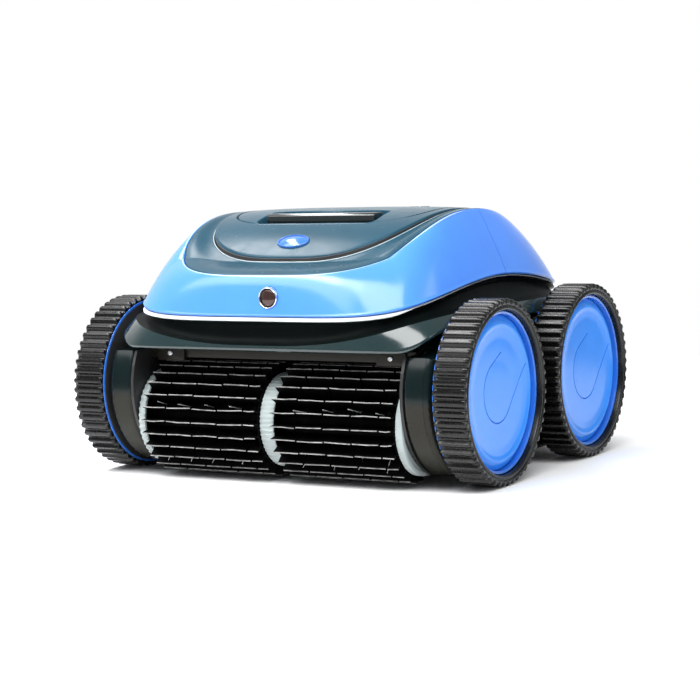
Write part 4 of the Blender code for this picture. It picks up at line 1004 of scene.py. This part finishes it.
def tyre_mesh(side):
    low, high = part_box("tyre_front_right")
    outer = (high.z - low.z) / 2
    inner_x, outer_x = low.x, high.x
    width = outer_x - inner_x
    turn = circle(RIBS * 10)
    tread = rib_radius(turn, outer, 0.0032)
    root = outer - 0.0034

    def ring(x, r):
        return stack(0 * turn + side * x, r * np.cos(turn), r * np.sin(turn))

    rounding = ((0.0006, 0.001), (0.0016, 0.0003), (0.003, 0.0))
    rows = [ring(inner_x + 0.0002, 0.0775), ring(inner_x, 0.079),
            ring(inner_x, np.minimum(tread - 0.0018, root))]
    rows += [ring(inner_x + s, tread - fall) for s, fall in rounding]
    rows += [ring(inner_x + width * s, tread) for s in np.linspace(0.2, 0.8, 4)]
    rows += [ring(outer_x - s, tread - fall) for s, fall in (*rounding[::-1], (0.0, 0.0022))]
    rows += [ring(outer_x - x, r) for x, r in
             ((0.0, root - 0.0016), (0.0004, 0.0822), (0.0014, 0.0816), (0.0014, 0.0806),
              (0.0004, 0.08), (0.0002, 0.0788), (0.0008, 0.0775), (0.0022, BORE_RADIUS))]
    rows.append(ring(inner_x + 0.002, BORE_RADIUS))
    return mesh_of("tyre", *loft(rows, "loop"), sharp=50)


def rim_profile():
    """Barrel that fits the tyre's bore, with the thin blue flange at its inner end."""
    low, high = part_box("rim_front_right")
    tyre_low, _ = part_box("tyre_front_right")
    flange = (high.z - low.z) / 2
    barrel = BARREL_RADIUS
    inner, outer, tyre_side = low.x, high.x, tyre_low.x - 0.0003
    return rounded([(inner, flange - 0.0003), (inner + 0.0002, flange), (tyre_side - 0.0002, flange),
                    (tyre_side, flange - 0.0003), (tyre_side, barrel), (outer, barrel),
                    (outer + 0.0006, barrel - 0.001), (outer, barrel - 0.003),
                    (0.201, barrel - 0.003), (0.201, 0.0081), (inner, 0.0081), (inner, 0.013),
                    (0.1975, 0.015), (0.1975, barrel - 0.005), (tyre_side, barrel - 0.0032),
                    (inner, barrel - 0.0028)], 0.0003, 2)


def cap_surface(r):
    """Outer face of the hubcap: sunken edge, raised ring, shallow dish."""
    return np.interp(r, [0.0, 0.03, 0.052, 0.06, 0.0625, 0.064, 0.066, 0.069, 0.0722, CAP_RADIUS],
                     [0.2098, 0.21, 0.2108, 0.2117, 0.2124, 0.2127, 0.2125, 0.2112, 0.209, 0.208])


def crease_path():
    """Open teardrop round the hub: a long arc below it and two straight tangents above."""
    r = 0.029
    ends = (np.array((0.0075, 0.037)), np.array((0.057, 0.0215)))
    start, stop = [math.atan2(end[1], end[0]) + sign * math.acos(r / np.linalg.norm(end))
                   for end, sign in zip(ends, (1, -1))]
    while stop < start:
        stop += TAU
    arc = [np.array((r * math.cos(t), r * math.sin(t))) for t in np.linspace(start, stop, 60)]
    first = [ends[0] + (arc[0] - ends[0]) * s for s in np.linspace(0, 1, 8)[:-1]]
    last = [arc[-1] + (ends[1] - arc[-1]) * s for s in np.linspace(0, 1, 16)[1:]]
    return np.array(first + arc + last)


def wire(path3, radius, steps=8, normal=(1, 0, 0), deep=1.0):
    """Tube along 3-D points, for grooves and bristles; deep stretches it along the normal."""
    pts = np.asarray(path3, float)
    radii = np.full(len(pts), radius) if np.isscalar(radius) else radius
    tangent = np.gradient(pts, axis=0)
    tangent /= np.linalg.norm(tangent, axis=1)[:, None]
    across = np.cross(tangent, np.array(normal, float))
    across /= np.linalg.norm(across, axis=1)[:, None]
    over = np.cross(across, tangent)
    turn = circle(steps)
    rings = [p + rr * (np.cos(turn)[:, None] * a + deep * np.sin(turn)[:, None] * o)
             for p, rr, a, o in zip(pts, radii, across, over)]
    return loft(rings)


def cap_mesh():
    radii = [0.002, *np.linspace(0.006, 0.058, 22), *np.linspace(0.0595, CAP_RADIUS, 22)]
    profile = [(float(cap_surface(r)), float(r)) for r in radii]
    profile += [(0.206, CAP_RADIUS), (0.205, CAP_RADIUS - 0.0006)]
    base = mesh_of("cap", *lathe(profile, (0, 0), "X", 200, "cap"))
    path = crease_path()
    x = cap_surface(np.hypot(path[:, 0], path[:, 1])) + 0.0001
    groove = mesh_of("groove", *wire(np.stack([x, path[:, 0], path[:, 1]], -1), 0.0006, deep=2.6))
    return carve(base, groove, sharp=34)


def mirror_x(mesh):
    other = mesh.copy()
    other.transform(Matrix.Diagonal((-1, 1, 1, 1)))
    other.flip_normals()
    other.shade_smooth()
    return other


def make_wheels():
    caps = {1: cap_mesh()}
    caps[-1] = mirror_x(caps[1])
    for side_name, side in SIDES:
        tyre = tyre_mesh(side)
        profile = [(side * a, r) for a, r in rim_profile()]
        rim = mesh_of("rim", *lathe(profile, (0, 0), "X", 160), sharp=45)
        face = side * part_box("rim_front_right")[0].x
        plate = [(face - side * x, r) for x, r in
                 ((0.0001, 0.013), (0.0006, 0.0136), (0.0006, 0.03), (0.0011, 0.031),
                  (0.0011, 0.056), (0.0006, 0.057), (0.0006, 0.0806), (0.0001, 0.0813))]
        backing = mesh_of("backing", *lathe(plate, (0, 0), "X", 120), sharp=45)
        for end in ENDS:
            label = end + "_" + side_name
            body = "wheel_" + label
            hub = Matrix.Translation((0, *middle_of("tyre_" + label)[1:]))
            for kind, source, look in (("tyre", tyre, None), ("rim", rim, RIM_SHADED_BLUE),
                                       ("hubcap", caps[side], CAP_LOOK)):
                mesh = source.copy()
                mesh.transform(hub)
                stand_in(kind + "_" + label, mesh, body, look)
            mesh = backing.copy()
            mesh.transform(hub)
            piece("rim_backing_" + label, mesh, body, "black_matte", stands_for="rim_" + label)


# ---- brush
def fin_segment(low, high, turn, seed):
    """One rubber blade: thick at the drum, thin and slightly wavy at its tip."""
    rng = np.random.default_rng(seed)
    lean = rng.normal(0, 0.0002)
    wave = rng.normal(0, 0.0003, 3)
    rows = []
    for along in np.linspace(low, high, 7):
        sway = np.interp((along - low) / (high - low), [0, 0.5, 1], wave) + lean
        left, right = [], []
        for r, half in ((DRUM_RADIUS - 0.001, 0.0014), (DRUM_RADIUS + 0.004, 0.0009),
                        (BLADE_TIP - 0.001, 0.00055), (BLADE_TIP, 0.00035)):
            bend = ((r - DRUM_RADIUS) / (BLADE_TIP - DRUM_RADIUS)) ** 2 * sway
            left.append((r, bend - half))
            right.insert(0, (r, bend + half))
        rows.append([(along, r * math.cos(turn) - c * math.sin(turn),
                      r * math.sin(turn) + c * math.cos(turn)) for r, c in left + right])
    return loft(rows)


def make_brush():
    """Two sleeves of blades between black end plates, and the toothed discs beside them."""
    shift = Matrix.Translation((0, *middle_of("brush_sleeve_right")[1:]))
    for side_name, side in SIDES:
        node = "brush_sleeve_" + side_name
        low, high = (corner.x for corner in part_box(node))
        length = (high - low - 3 * BLADE_GAP) / 4.5
        starts = [low + k * (length + BLADE_GAP) for k in range(5)]
        spans = [(a, a + length) for a in starts[:4]] + [(starts[4], high)]
        drum = [(low + (high - low) * k / 45, DRUM_RADIUS - (0.0006 if k % 2 else 0.0))
                for k in range(1, 45)]
        profile = [(low, 0.0065), (low, 0.0462), (low + END_PLATE * 0.3, 0.0468),
                   (low + END_PLATE, 0.0466), (low + END_PLATE, DRUM_RADIUS), *drum,
                   (high - END_PLATE, DRUM_RADIUS), (high - END_PLATE, 0.0466),
                   (high - END_PLATE * 0.3, 0.0468), (high, 0.0462), (high, 0.0065)]
        parts = [lathe(profile, (0, 0), "X", 104)]
        for f in range(FINS):
            parts += [fin_segment(a, b, TAU * f / FINS, 1000 * (side + 2) + 20 * f + n)
                      for n, (a, b) in enumerate(spans)]
        mesh = mesh_of("sleeve", *joined(parts), sharp=30)
        mesh.transform(shift)
        stand_in(node, mesh, "brush", FIN_LOOK)
    for node, teeth, depth in (("brush_centre_disc", 64, 0.0007), ("brush_end_disc_left", 48, 0.001),
                               ("brush_end_disc_right", 90, 0.0002)):
        d_low, d_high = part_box(node)
        radius = max(d_high.y - d_low.y, d_high.z - d_low.z) / 2
        mesh = toothed_disc(d_low.x, d_high.x, radius, teeth, depth)
        mesh.transform(shift)
        stand_in(node, mesh, "brush", DISC_LOOK)
    make_bristles(shift)


def toothed_disc(low, high, radius, teeth, depth):
    """Disc with sunken faces and fine teeth round its rim."""
    turn = circle(teeth * 6)
    wave = np.interp((turn / TAU * teeth) % 1.0, [0, 0.12, 0.45, 0.57, 1.0], [0, 1, 1, 0, 0])

    def ring(x, r, share):
        rr = r - depth * (1 - wave) * share
        return stack(0 * turn + x, rr * np.cos(turn), rr * np.sin(turn))

    side = ((0, 0.0062, 0), (0, 0.015, 0), (0.0012, 0.0165, 0), (0.0012, radius - 0.0055, 0),
            (0, radius - 0.004, 0), (0, radius - 0.0012, 1), (0.0006, radius - 0.0002, 1),
            (0.0014, radius, 1))
    rows = [ring(low + x, r, share) for x, r, share in side]
    rows += [ring(high - x, r, share) for x, r, share in reversed(side)]
    return mesh_of("disc", *loft(rows, "loop"), sharp=35)


def make_bristles(shift):
    """A few pale nylon tufts that stand in the gaps between the blades."""
    rng = np.random.default_rng(7)
    parts = []
    for side in (-1, 1):
        for x in (0.037, 0.067, 0.097, 0.124):
            for f in range(1, FINS, 5):
                turn = TAU * (f + 0.5) / FINS + rng.normal(0, 0.03)
                ends = []
                for spread, r, angle in ((0.001, DRUM_RADIUS - 0.0005, turn),
                                         (0.002, BLADE_TIP - 0.0015, turn + 0.04)):
                    ends.append(np.array((side * x + rng.normal(0, spread), r * math.cos(angle),
                                          r * math.sin(angle))))
                path = [ends[0] + (ends[1] - ends[0]) * s for s in np.linspace(0, 1, 5)]
                parts.append(wire(path, np.linspace(0.0005, 0.0003, 5), 6))
    mesh = mesh_of("bristles", *joined(parts))
    mesh.transform(shift)
    piece("brush_bristles", mesh, "brush", "white_plastic")


make_shells()
make_panel()
make_beads()
make_lid()
make_latch()
make_handle()
make_button()
make_outlet()
make_skirt()
make_pods()
make_guard()
make_wheels()
make_brush()
